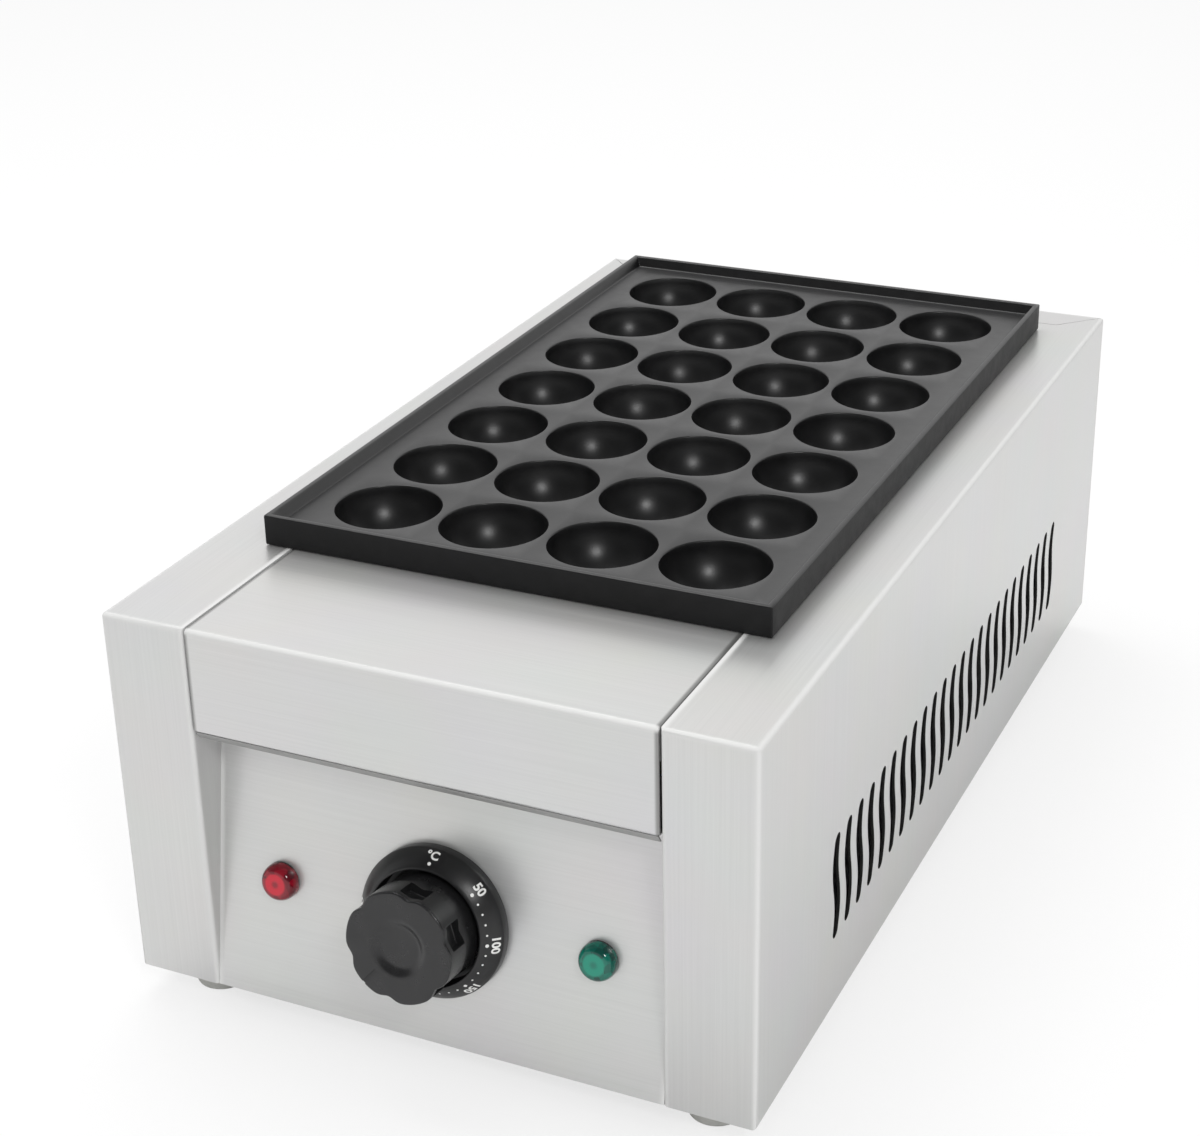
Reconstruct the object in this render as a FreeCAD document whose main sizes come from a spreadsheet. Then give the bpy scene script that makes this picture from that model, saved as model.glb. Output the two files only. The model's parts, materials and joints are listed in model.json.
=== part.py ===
import FreeCAD, Part
import math
import os
import re

# Electric takoyaki maker for a counter: a stainless housing carries a cast pan with 4 x 7 cups.
# The pan lifts off, and a knob on the sloping panel sets the thermostat.
# Frame: millimetres, +Z up, the front faces -Y, +X to the right seen from the front.
# The origin lies on the surface it stands on, under the middle of the housing.

NOTED_SIZES = [
    ("side_ledge", 22.0, "side of the housing beyond the pan"),
    ("front_deck", 66.5, "housing in front of the pan"),
    ("rear_deck", 24.5, "housing behind the pan"),
    ("cover_height", 138.0, "side covers, bottom to top"),
    ("foot_height", 11.0, "underside of the covers above the surface"),
    ("sheet", 1.0, "stainless sheet of the covers"),
    ("fold_round", 1.6, "outside radius of a fold"),
    ("well_room", 0.35, "cups' outsides to the seams between the covers"),
    ("seam_gap", 0.5, "between a side cover and the middle cover"),
    ("apron_height", 38.0, "front drop of the middle cover"),
    ("apron_return", 32.0, "fold back under the apron"),
    ("front_return", 34.0, "inner fold of a side cover at the front"),
    ("edge_return", 12.0, "other hidden folds of the covers"),
    ("rear_flange", 16.0, "top fold of the rear cover"),
    ("mitre_gap", 0.3, "corner seam between side and rear covers"),
    ("panel_thick", 1.2, "control panel"),
    ("panel_recess_top", 17.5, "panel behind the front plane at the apron"),
    ("panel_recess_bottom", 0.4, "panel behind the front plane at the bottom"),
    ("panel_flange", 15.0, "side folds of the panel"),
    ("panel_gap", 0.2, "panel below the apron"),
    ("base_thick", 1.2, "base plate"),
    ("base_lip", 14.0, "upturned rear edge of the base plate"),
    ("base_gap", 0.4, "base plate inside the covers"),
    ("vent_count", 24.0, "slots in each side"),
    ("vent_pitch", 11.72, "slot to slot"),
    ("vent_height", 40.0, "slot, end to end"),
    ("vent_sway", 3.0, "side swing of the slot's S"),
    ("vent_lean", 1.0, "top end of a slot behind its middle"),
    ("vent_wide", 5.0, "slot in its middle"),
    ("vent_tip", 2.2, "slot at its ends"),
    ("vent_first", 73.0, "front plane to the first slot"),
    ("vent_centre", 59.8, "middle of the slots above the surface"),
    ("pan_side_margin", 11.2, "pan beyond the outer cups and their gaps, at a side"),
    ("pan_end_margin", 9.8, "pan beyond the outer cups and their gaps, at an end"),
    ("pan_height", 11.0, "outer wall of the pan"),
    ("pan_gap", 0.3, "pan above the covers"),
    ("pan_overlap", 8.0, "pan on the middle cover at each end"),
    ("rim_rise", 4.0, "rim above the floor of the pan"),
    ("rim_top", 2.2, "rim at its top"),
    ("rim_foot", 3.6, "rim where it meets the floor"),
    ("pan_skirt", 3.2, "outer wall below the floor"),
    ("pan_plate", 3.0, "floor of the pan"),
    ("pan_round", 0.8, "rounded outer edges of the pan"),
    ("cup_columns", 4.0, "cups side to side"),
    ("cup_rows", 7.0, "cups front to back"),
    ("cup_radius", 19.0, "inside of a cup"),
    ("cup_gap_x", 3.4, "floor between two cups, side to side"),
    ("cup_gap_y", 4.2, "floor between two cups, front to back"),
    ("cup_wall", 2.2, "wall of a cup"),
    ("cup_round", 0.6, "rounded mouth of a cup"),
    ("lug_width", 8.0, "locating lug under the pan"),
    ("lug_thick", 2.0, "locating lug, front to back"),
    ("lug_reach", 6.0, "locating lug below the covers' top"),
    ("lug_gap", 0.5, "locating lug to the collar"),
    ("collar_depth", 12.0, "turned-down edge of the opening"),
    ("tray_sheet", 0.8, "heating tray and heat shield"),
    ("tray_depth", 41.0, "tray floor below the covers' top"),
    ("tray_flange", 14.0, "tray's outward edge under the side strips"),
    ("wool_thick", 20.0, "mineral wool under the tray"),
    ("shield_height", 40.0, "side walls of the heat shield"),
    ("element_radius", 3.5, "heating tube"),
    ("element_gap", 1.6, "heating tube under the cups"),
    ("element_margin", 8.0, "heating tube's bend to the tray's rear"),
    ("element_tail", 14.0, "heating tube in front of the tray"),
    ("pin_radius", 1.75, "terminal pin of a heating tube"),
    ("pin_length", 10.0, "terminal pin of a heating tube"),
    ("sleeve_radius", 5.0, "fitting in the tray wall"),
    ("sleeve_reach", 8.0, "fitting in front of the tray wall"),
    ("hex_corner", 8.0, "hexagon of a fitting, centre to corner"),
    ("hex_thick", 5.0, "hexagon of a fitting"),
    ("slip", 0.1, "hole over what passes through it"),
    ("rack_sheet", 1.5, "support plate of the heating tubes"),
    ("rack_side", 10.0, "support plate beyond the outer tubes"),
    ("rack_foot", 10.0, "foot fold of a support plate"),
    ("rack_cap", 1.4, "support plate above the tubes"),
    ("bulb_radius", 3.0, "sensing bulb"),
    ("bulb_length", 90.0, "sensing bulb"),
    ("capillary_radius", 0.9, "capillary tube"),
    ("cutout_radius", 8.0, "temperature limiter"),
    ("cutout_thick", 9.0, "temperature limiter"),
    ("cutout_drop", 29.0, "limiter below the covers' top"),
    ("dial_up", 44.9, "dial axis up the panel"),
    ("dial_radius", 26.5, "dial ring, outside"),
    ("dial_edge", 3.6, "straight edge of the dial ring"),
    ("dial_crest", 21.2, "radius where the ring's slope ends"),
    ("dial_height", 9.5, "dial ring off the panel"),
    ("dial_bulge", 0.4, "ring's slope outside a straight line"),
    ("dial_well", 20.4, "inside wall of the dial ring"),
    ("dial_floor", 2.0, "floor of the dial ring"),
    ("dial_hole", 6.0, "hole in the dial ring's floor"),
    ("knob_skirt", 18.7, "round skirt of the knob"),
    ("knob_lift", 3.0, "knob off the panel"),
    ("knob_height", 26.4, "face of the knob off the panel"),
    ("knob_neck", 15.8, "top of the skirt off the panel"),
    ("knob_face", 19.3, "lobes of the grip"),
    ("knob_lobes", 6.0, "lobes of the grip"),
    ("flute_radius", 12.0, "hollow between two lobes"),
    ("flute_depth", 1.5, "hollow between two lobes"),
    ("pocket_width", 8.4, "finger pocket behind the face"),
    ("pocket_depth", 4.2, "finger pocket behind the face"),
    ("face_thick", 2.3, "face plate over the pockets"),
    ("dish_radius", 10.7, "dished centre of the face"),
    ("dish_depth", 1.6, "dished centre of the face"),
    ("mark_width", 1.2, "pointer groove"),
    ("mark_length", 7.2, "pointer groove"),
    ("mark_depth", 0.9, "pointer groove"),
    ("mark_turn", 219.3, "pointer, clockwise from the top of the dial"),
    ("knob_hollow", 17.0, "hollow under the knob"),
    ("hollow_top", 12.0, "hollow under the knob, off the panel"),
    ("knob_boss", 6.5, "boss around the shaft"),
    ("shaft_radius", 3.0, "thermostat shaft"),
    ("shaft_top", 20.5, "front end of the shaft off the panel"),
    ("shaft_root", 10.0, "shaft behind the panel's front"),
    ("shaft_slip", 0.05, "knob on the shaft"),
    ("bush_radius", 5.0, "threaded neck of the thermostat"),
    ("bush_slip", 0.08, "shaft in the thermostat's neck"),
    ("bush_root", 1.0, "thermostat's neck inside its case"),
    ("stat_wide", 44.0, "thermostat, side to side"),
    ("stat_tall", 36.0, "thermostat, up the panel"),
    ("stat_deep", 30.0, "thermostat, front to back"),
    ("tab_count", 4.0, "flat terminals of the thermostat"),
    ("tab_pitch", 9.4, "flat terminals, side to side"),
    ("tab_wide", 6.3, "flat terminal"),
    ("tab_thick", 0.8, "flat terminal"),
    ("tab_long", 8.0, "flat terminal"),
    ("stat_screw_offset", 13.4, "thermostat screws from the shaft"),
    ("stat_screw_deep", 7.0, "thermostat screws inside its case"),
    ("screw_room", 1.0, "hole beyond the end of a screw"),
    ("lamp_offset", 59.1, "lamps from the middle"),
    ("lamp_up", 45.2, "lamps up the panel"),
    ("lamp_rim", 6.5, "lamp's rim"),
    ("lamp_rim_thick", 1.2, "lamp's rim"),
    ("lens_radius", 5.7, "lamp's lens"),
    ("lens_side", 2.2, "straight side of the lens"),
    ("lens_dome", 2.4, "dome of the lens"),
    ("lamp_barrel", 5.0, "lamp behind the panel"),
    ("lamp_depth", 25.0, "lamp behind the panel's front"),
    ("lamp_nut_corner", 8.0, "lamp's nut, centre to corner"),
    ("lamp_nut_thick", 3.5, "lamp's nut"),
    ("foot_radius", 10.5, "foot at its top"),
    ("foot_base", 9.5, "foot on the surface"),
    ("foot_side", 21.0, "foot's middle from the side"),
    ("foot_end", 18.5, "foot's middle from the front or rear"),
    ("foot_recess", 5.0, "screw recess in a foot"),
    ("screw_radius", 1.9, "small screws"),
    ("head_radius", 3.0, "small screw heads"),
    ("head_thick", 1.8, "small screw heads"),
    ("bolt_radius", 2.5, "foot bolts and earth stud"),
    ("bolt_head", 4.2, "foot bolt heads"),
    ("nut_corner", 4.6, "foot and earth nuts, centre to corner"),
    ("nut_thick", 4.0, "foot and earth nuts"),
    ("bolt_proud", 2.0, "foot bolt beyond its nut"),
    ("rear_screw_inset", 8.0, "rear screws from the side"),
    ("rear_screw_pitch", 48.0, "rear screw to rear screw"),
    ("base_screw_inset", 6.0, "base screws from the side"),
    ("base_screw_end", 73.0, "outer base screws from the front and rear"),
    ("panel_screw_in", 9.0, "panel screws behind the panel's front"),
    ("panel_screw_up", 18.0, "lower panel screws up the panel"),
    ("panel_screw_pitch", 62.0, "panel screw to panel screw"),
    ("inlet_inset", 46.0, "cord inlet from the right side"),
    ("inlet_z", 40.0, "cord inlet above the surface"),
    ("inlet_bore", 4.5, "hole through the cord inlet"),
    ("gland_thread", 8.0, "threaded neck of the cord inlet"),
    ("gland_hex", 11.5, "hexagon of the cord inlet, centre to corner"),
    ("gland_flange", 5.0, "hexagon of the cord inlet"),
    ("gland_reach", 20.5, "cord inlet behind the rear cover"),
    ("gland_inside", 10.0, "threaded neck inside the housing"),
    ("gland_cap_wall", 2.4, "cap nut round its seal"),
    ("gland_locknut", 5.0, "lock nut inside the housing"),
    ("block_shift", 5.0, "terminal block left of the cord inlet"),
    ("block_inset", 53.0, "terminal block in front of the rear"),
    ("block_wide", 40.0, "terminal block"),
    ("block_deep", 24.0, "terminal block"),
    ("block_tall", 18.0, "terminal block"),
    ("way_pitch", 12.0, "ways of the terminal block"),
    ("way_radius", 2.2, "ways of the terminal block"),
    ("way_up", 6.0, "ways above the base plate"),
    ("stud_shift", 37.0, "earth stud left of the terminal block"),
    ("stud_tall", 18.0, "earth stud above the base plate"),
    ("lead_radius", 1.5, "mains leads inside"),
    ("lamp_lead_radius", 0.9, "lamp leads inside"),
    ("lead_bend", 7.0, "bends of the inner leads"),
    ("lead_room", 9.5, "inner leads in front of the tray and clear of pieces"),
    ("saddle_deep", 8.0, "lead saddles on the base plate"),
    ("saddle_tall", 11.0, "lead saddles on the base plate"),
    ("saddle_first", 90.0, "first lead saddle in front of the terminal block"),
    ("saddle_pitch", 120.0, "lead saddle to lead saddle"),
]

doc = FreeCAD.newDocument("takoyaki_maker")
sheet = doc.addObject("Spreadsheet::Sheet", "Sizes")
for line, (word, value, note) in enumerate(NOTED_SIZES, start=1):
    sheet.set(f"A{line}", word)
    sheet.set(f"B{line}", str(value))
    sheet.setAlias(f"B{line}", word)
    sheet.set(f"C{line}", note)
doc.recompute()

SIZE = {word: value for word, value, note in NOTED_SIZES}
WORD = re.compile(r"[a-z]+(?:_[a-z]+)*")
sub_parts = []

# Places that several pieces share, worked out from the sheet.
# The cups set the pan, and the pan sets the housing.
PITCH_X = "(2*cup_radius + cup_gap_x)"
PITCH_Y = "(2*cup_radius + cup_gap_y)"
PAN_SIDE = f"(cup_columns*{PITCH_X}/2 + pan_side_margin)"
PAN_HALF = f"(cup_rows*{PITCH_Y}/2 + pan_end_margin)"
PAN_MIDDLE = "((front_deck - rear_deck)/2)"
SIDE = f"({PAN_SIDE} + side_ledge)"
REAR = f"({PAN_HALF} + (front_deck + rear_deck)/2)"
FRONT = f"(-{REAR})"
TOP = "(foot_height + cover_height)"
MIDDLE_EDGE = f"((cup_columns - 1)/2*{PITCH_X} + cup_radius + cup_wall + well_room)"
STRIP_EDGE = f"({MIDDLE_EDGE} + seam_gap)"
APRON_FOOT = f"({TOP} - apron_height)"
RISE = "(cover_height - apron_height)"
LEAN = f"(atan((panel_recess_top - panel_recess_bottom) / {RISE}) / 1 deg)"
PANEL_LONG = f"({RISE} / cos({LEAN}))"
FLANGE_FRONT = f"({REAR} - rear_flange)"
BASE_TOP = "(foot_height + sheet + base_thick)"
OPEN_HALF = f"({PAN_HALF} - pan_overlap)"
WELL_FRONT = f"({PAN_MIDDLE} - {OPEN_HALF})"
WELL_REAR = f"({PAN_MIDDLE} + {OPEN_HALF})"
PAN_SEAT = f"({TOP} + pan_gap)"
PAN_FLOOR = f"({PAN_SEAT} + pan_height - rim_rise)"
TRAY_FRONT = f"({WELL_FRONT} - sheet - tray_sheet)"
TRAY_REAR = f"({WELL_REAR} + sheet + tray_sheet)"
TRAY_SIDE = f"({MIDDLE_EDGE} + tray_sheet)"
TRAY_FLOOR = f"({TOP} - tray_depth)"
WOOL_FOOT = f"({TRAY_FLOOR} - tray_sheet - wool_thick)"
ELEMENT_UP = f"({PAN_FLOOR} - cup_radius - cup_wall - element_gap - element_radius)"
RACKS = [f"({PAN_MIDDLE} {sign} (cup_rows/2 - 1)*{PITCH_Y})" for sign in "-+"]
ELEMENT_LEGS = [f"({share}*{PITCH_X})" for share in (-1.5, -0.5, 0.5, 1.5)]
STAT_FRONT = "(-panel_thick)"
STAT_REAR = "(-panel_thick - stat_deep)"
INLET_X = f"({SIDE} - inlet_inset)"
BLOCK_X = f"({INLET_X} - block_shift)"
BLOCK_Y = f"({REAR} - block_inset)"
STUD_X = f"({BLOCK_X} - stud_shift)"


def named(text):
    """The text with each size pointing at its cell."""
    return WORD.sub(lambda m: "Sizes." + m[0] if m[0] in SIZE else m[0], text)


def link(obj, prop, text):
    obj.setExpression(prop, named(str(text)))


def number(text):
    """What an expression comes to with the sheet's values."""
    found = sheet.evalExpression(named(text))
    return float(getattr(found, "Value", found))


def new_body(label, on_panel=False):
    body = doc.addObject("PartDesign::Body", label)
    body.Label = label
    body.AllowCompound = True
    if on_panel:
        lay_on_panel(body)
    sub_parts.append(body)
    return body


def lay_on_panel(obj):
    """Local x across, y up the sloping panel, z out of its front."""
    obj.Placement = FreeCAD.Placement(FreeCAD.Vector(), FreeCAD.Rotation(FreeCAD.Vector(1, 0, 0), 80))
    link(obj, "Placement.Rotation.Angle", f"90 - {LEAN}")
    link(obj, "Placement.Base.y", f"{FRONT} + panel_recess_bottom")
    link(obj, "Placement.Base.z", "foot_height")


def place(obj, at):
    for axis, where in zip("xyz", at):
        link(obj, "Placement.Base." + axis, where)


def block(body, way, name, x, y, z):
    """A box from lowest to highest along each axis."""
    box = body.newObject(f"PartDesign::{way}Box", name)
    for prop, (low, high) in zip(("Length", "Width", "Height"), (x, y, z)):
        link(box, prop, f"({high}) - ({low})")
    place(box, (x[0], y[0], z[0]))
    return box


TURNS = {
    "x": FreeCAD.Rotation(FreeCAD.Vector(0, 1, 0), 90),
    "y": FreeCAD.Rotation(FreeCAD.Vector(1, 0, 0), -90),
    "z": FreeCAD.Rotation(),
}


def rod(body, way, name, axis, at, radius, length):
    """A cylinder that starts at a point and runs along +axis."""
    shape = body.newObject(f"PartDesign::{way}Cylinder", name)
    shape.Placement = FreeCAD.Placement(FreeCAD.Vector(), TURNS[axis])
    link(shape, "Radius", radius)
    link(shape, "Height", length)
    place(shape, at)
    return shape


def hexagon(body, name, axis, at, corner, length):
    shape = body.newObject("PartDesign::AdditivePrism", name)
    shape.Placement = FreeCAD.Placement(FreeCAD.Vector(), TURNS[axis])
    shape.Polygon = 6
    link(shape, "Circumradius", corner)
    link(shape, "Height", length)
    place(shape, at)
    return shape


def cone(body, way, name, axis, at, radius_from, radius_to, length):
    shape = body.newObject(f"PartDesign::{way}Cone", name)
    shape.Placement = FreeCAD.Placement(FreeCAD.Vector(), TURNS[axis])
    link(shape, "Radius1", radius_from)
    link(shape, "Radius2", radius_to)
    link(shape, "Height", length)
    place(shape, at)
    return shape


def wedge(body, way, name, x_front, x_rear, y, z):
    """A flat plate whose sides slant from its front span to its rear span."""
    shape = body.newObject(f"PartDesign::{way}Wedge", name)
    spans = {"X": x_front, "X2": x_rear, "Y": y, "Z": z, "Z2": z}
    for axis, (low, high) in spans.items():
        link(shape, axis + "min", low)
        link(shape, axis + "max", high)
    return shape


def both(low, high, side):
    """A span across, on the right (1) or mirrored to the left (-1)."""
    return (low, high) if side > 0 else (f"-({high})", f"-({low})")


def flat_at(**where):
    """Chooses the straight edges that lie at these coordinates."""
    def chosen(edge):
        box = edge.BoundBox
        limits = {"x": (box.XMin, box.XMax), "y": (box.YMin, box.YMax), "z": (box.ZMin, box.ZMax)}
        return all(abs(end - value) < 0.01 for axis, value in where.items() for end in limits[axis])
    return chosen


def round_edges(body, name, radius, choices):
    doc.recompute()
    base = body.Tip
    edges = [f"Edge{i}" for i, edge in enumerate(base.Shape.Edges, start=1)
             if any(chosen(edge) for chosen in choices)]
    fillet = body.newObject("PartDesign::Fillet", name)
    fillet.Base = (base, edges)
    link(fillet, "Radius", radius)
    doc.recompute()
    return fillet


def origin_plane(body, role):
    return next(item for item in body.Origin.OriginFeatures if item.Role == role)


def new_sketch(body, name, role):
    sketch = body.newObject("Sketcher::SketchObject", name)
    sketch.AttachmentSupport = [(origin_plane(body, role), "")]
    sketch.MapMode = "FlatFace"
    return sketch


def three_point_arc(start, middle, end):
    points = [FreeCAD.Vector(a, b, 0) for a, b in (start, middle, end)]
    return Part.Arc(*points)


def straight(start, end):
    return Part.LineSegment(FreeCAD.Vector(*start, 0), FreeCAD.Vector(*end, 0))


# Side covers

def vent_outline():
    """One S-shaped slot about its own middle: y to the rear, z up."""
    half = number("vent_height") / 2
    lean = number("vent_lean")
    sway = number("vent_sway")
    wide = number("vent_wide") / 2
    tip = number("vent_tip") / 2
    body_end = half - tip
    edges = []
    for edge in (-1, 1):
        upper = ((lean + edge*tip, body_end), (edge*wide - sway, half/2), (edge*wide, 0))
        lower = ((edge*wide, 0), (edge*wide + sway, -half/2), (edge*tip - lean, -body_end))
        edges += [three_point_arc(*upper), three_point_arc(*lower)]
    edges.append(three_point_arc((lean - tip, body_end), (lean, half), (lean + tip, body_end)))
    edges.append(three_point_arc((-lean - tip, -body_end), (-lean, -half), (tip - lean, -body_end)))
    return edges


def cut_vents(body, side):
    sketch = new_sketch(body, "vent_slot", "YZ_Plane")
    for edge in vent_outline():
        sketch.addGeometry(edge, False)
    outside = f"{SIDE} + sheet" if side > 0 else f"2*sheet - {SIDE}"
    link(sketch, "AttachmentOffset.Base.x", f"{FRONT} + vent_first - vent_pitch/2")
    link(sketch, "AttachmentOffset.Base.y", "vent_centre")
    link(sketch, "AttachmentOffset.Base.z", outside)
    doc.recompute()
    slot = body.newObject("PartDesign::Pocket", "vent_cut")
    slot.Profile = sketch
    slot.Type = "Length"
    link(slot, "Length", "3*sheet")
    doc.recompute()
    row = body.newObject("PartDesign::LinearPattern", "vent_row")
    row.Originals = [slot]
    row.Direction = (sketch, ["H_Axis"])
    link(row, "Length", "(vent_count - 1)*vent_pitch")
    link(row, "Occurrences", "vent_count")
    body.Tip = row
    doc.recompute()


def panel_point(up, out):
    """World y and z of a point up the panel and out of it."""
    y = f"{FRONT} + panel_recess_bottom + ({up})*sin({LEAN}) - ({out})*cos({LEAN})"
    z = f"foot_height + ({up})*cos({LEAN}) + ({out})*sin({LEAN})"
    return y, z


def side_cover(label, side):
    body = new_body(label)
    block(body, "Additive", "outer", both(STRIP_EDGE, SIDE, side), (FRONT, REAR), ("foot_height", TOP))
    block(body, "Subtractive", "inner", both(f"{STRIP_EDGE} + sheet", f"{SIDE} - sheet", side),
          (f"{FRONT} + sheet", f"{REAR} + sheet"), ("foot_height + sheet", f"{TOP} - sheet"))
    block(body, "Subtractive", "open_inside",
          both(f"{STRIP_EDGE} - sheet", f"{STRIP_EDGE} + 2*sheet", side),
          (f"{FRONT} + front_return", f"{REAR} + sheet"), ("foot_height + sheet", f"{TOP} - sheet"))
    block(body, "Additive", "rear_return", both(f"{SIDE} - edge_return", f"{SIDE} - sheet/2", side),
          (f"{REAR} - 2*sheet", f"{REAR} - sheet"), ("foot_height + sheet/2", f"{TOP} - sheet"))
    inner_edge = (f"{STRIP_EDGE} - sheet", f"{SIDE} - rear_flange - mitre_gap")
    outer_edge = (f"{STRIP_EDGE} - sheet", f"{SIDE} - mitre_gap")
    wedge(body, "Subtractive", "mitre", both(*inner_edge, side), both(*outer_edge, side),
          (f"{FLANGE_FRONT} - mitre_gap", REAR), (f"{TOP} - sheet", f"{TOP} + sheet"))
    rim = side * number(SIDE)
    seam = side * number(STRIP_EDGE)
    front = number(FRONT)
    top = number(TOP)
    round_edges(body, "folds", "fold_round", [
        flat_at(x=rim, z=top), flat_at(x=rim, y=front), flat_at(y=front, z=top),
        flat_at(x=seam, y=front), flat_at(x=rim, z=number("foot_height"))])
    for i in range(3):
        rod(body, "Subtractive", f"rear_hole_{i}", "y",
            (side_at("rear_screw_inset", side), f"{REAR} - 4*sheet", rear_screw_up(i)),
            "screw_radius + slip", "4*sheet")
        rod(body, "Subtractive", f"base_hole_{i}", "z", (side_at("base_screw_inset", side),
            base_screw_at(i), "foot_height - sheet"), "screw_radius + slip", "3*sheet")
    for end in (-1, 1):
        rod(body, "Subtractive", f"foot_hole_{end + 1}", "z", (side_at("foot_side", side),
            f"{end}*({REAR} - foot_end)", "foot_height - sheet"), "bolt_radius + slip", "3*sheet")
    for i in range(2):
        y, z = panel_point(f"panel_screw_up + {i}*panel_screw_pitch", "-panel_screw_in")
        start = f"{STRIP_EDGE} - sheet" if side > 0 else f"-{STRIP_EDGE} - 2*sheet"
        rod(body, "Subtractive", f"panel_hole_{i}", "x", (start, y, z), "screw_radius + slip", "3*sheet")
    cut_vents(body, side)
    return body


def side_at(inset, side):
    return f"{side}*({SIDE} - {inset})"


def rear_screw_up(i):
    return f"{TOP} - 1.5*edge_return - {i}*rear_screw_pitch"


def base_screw_at(i):
    return f"{i - 1}*({REAR} - base_screw_end)"


# Middle cover, rear cover, panel and base

def middle_cover():
    body = new_body("top_cover")
    across = (f"-{MIDDLE_EDGE}", MIDDLE_EDGE)
    rear_end = f"{FLANGE_FRONT} - mitre_gap"
    block(body, "Additive", "apron_and_top", across, (FRONT, rear_end), (APRON_FOOT, TOP))
    block(body, "Subtractive", "under_top", (f"-{SIDE}", SIDE),
          (f"{FRONT} + apron_return", REAR), (f"{APRON_FOOT} - sheet", f"{TOP} - collar_depth"))
    block(body, "Subtractive", "inside_apron", (f"-{SIDE}", SIDE),
          (f"{FRONT} + sheet", f"{FRONT} + apron_return + sheet"),
          (f"{APRON_FOOT} + sheet", f"{TOP} - collar_depth"))
    inside = (f"-{MIDDLE_EDGE} + sheet", f"{MIDDLE_EDGE} - sheet")
    block(body, "Subtractive", "front_room", inside,
          (f"{FRONT} + sheet", f"{WELL_FRONT} - sheet"), (f"{TOP} - 2*collar_depth", f"{TOP} - sheet"))
    block(body, "Subtractive", "rear_room", inside,
          (f"{WELL_REAR} + sheet", f"{REAR} + sheet"), (f"{TOP} - 2*collar_depth", f"{TOP} - sheet"))
    block(body, "Subtractive", "well", inside, (WELL_FRONT, WELL_REAR),
          (f"{TOP} - 2*collar_depth", f"{TOP} + sheet"))
    front = number(FRONT)
    top = number(TOP)
    edge = number(MIDDLE_EDGE)
    round_edges(body, "folds", "fold_round", [
        flat_at(y=front, z=top), flat_at(y=front, z=top - number("apron_height"))])
    round_edges(body, "long_folds", "0.8*sheet", [flat_at(x=edge, z=top), flat_at(x=-edge, z=top)])


def rear_cover():
    body = new_body("rear_cover")
    wall = f"{SIDE} - sheet - mitre_gap"
    block(body, "Additive", "wall", (f"-({wall})", wall), (f"{REAR} - sheet", REAR),
          ("foot_height + sheet", f"{TOP} - sheet"))
    flange_front = f"{SIDE} - rear_flange - 2*mitre_gap"
    flange_rear = f"{SIDE} - 2*mitre_gap"
    wedge(body, "Additive", "flange", (f"-({flange_front})", flange_front),
          (f"-({flange_rear})", flange_rear), (FLANGE_FRONT, REAR), (f"{TOP} - sheet", TOP))
    round_edges(body, "fold", "0.9*sheet", [flat_at(y=number(REAR), z=number(TOP))])
    for side in (-1, 1):
        for i in range(3):
            rod(body, "Subtractive", f"screw_hole_{side + 1}{i}", "y",
                (side_at("rear_screw_inset", side), f"{REAR} - 2*sheet", rear_screw_up(i)),
                "screw_radius + slip", "3*sheet")
    rod(body, "Subtractive", "inlet_hole", "y", (INLET_X, f"{REAR} - 2*sheet", "inlet_z"),
        "gland_thread + slip", "3*sheet")


def control_panel():
    body = new_body("control_panel", on_panel=True)
    half = STRIP_EDGE
    tall = f"{PANEL_LONG} - panel_gap"
    block(body, "Additive", "plate", (f"-{half}", half), ("0", tall), ("-panel_flange", "0"))
    block(body, "Subtractive", "behind", (f"-{half} + panel_thick", f"{half} - panel_thick"),
          ("-panel_flange", f"{tall} + panel_flange"), ("-2*panel_flange", "-panel_thick"))
    rod(body, "Subtractive", "shaft_hole", "z", ("0", "dial_up", "-2*panel_thick"),
        "bush_radius + slip", "3*panel_thick")
    for side in (-1, 1):
        rod(body, "Subtractive", f"lamp_hole_{side + 1}", "z",
            (f"{side}*lamp_offset", "lamp_up", "-2*panel_thick"), "lamp_barrel + slip", "3*panel_thick")
        rod(body, "Subtractive", f"stat_hole_{side + 1}", "z",
            (f"{side}*stat_screw_offset", "dial_up", "-2*panel_thick"),
            "screw_radius + slip", "3*panel_thick")
    for i in range(2):
        rod(body, "Subtractive", f"screw_hole_{i}", "x",
            (f"-{SIDE}", f"panel_screw_up + {i}*panel_screw_pitch", "-panel_screw_in"),
            "screw_radius + slip", f"2*{SIDE}")
    # The side folds end level, just above the base plate.
    level = f"({BASE_TOP} - foot_height + panel_gap)"
    foot = block(body, "Subtractive", "level_foot", ("0", f"2*{SIDE}"), ("0", "2*panel_flange"),
                 ("0", "panel_flange"))
    foot.Placement = FreeCAD.Placement(FreeCAD.Vector(), FreeCAD.Rotation(FreeCAD.Vector(1, 0, 0), 280))
    link(foot, "Placement.Rotation.Angle", f"270 + {LEAN}")
    place(foot, (f"-{SIDE}",
                 f"({level} + panel_thick*sin({LEAN}))/cos({LEAN}) - panel_flange*cos({LEAN})",
                 f"-panel_thick - panel_flange*sin({LEAN})"))


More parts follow.
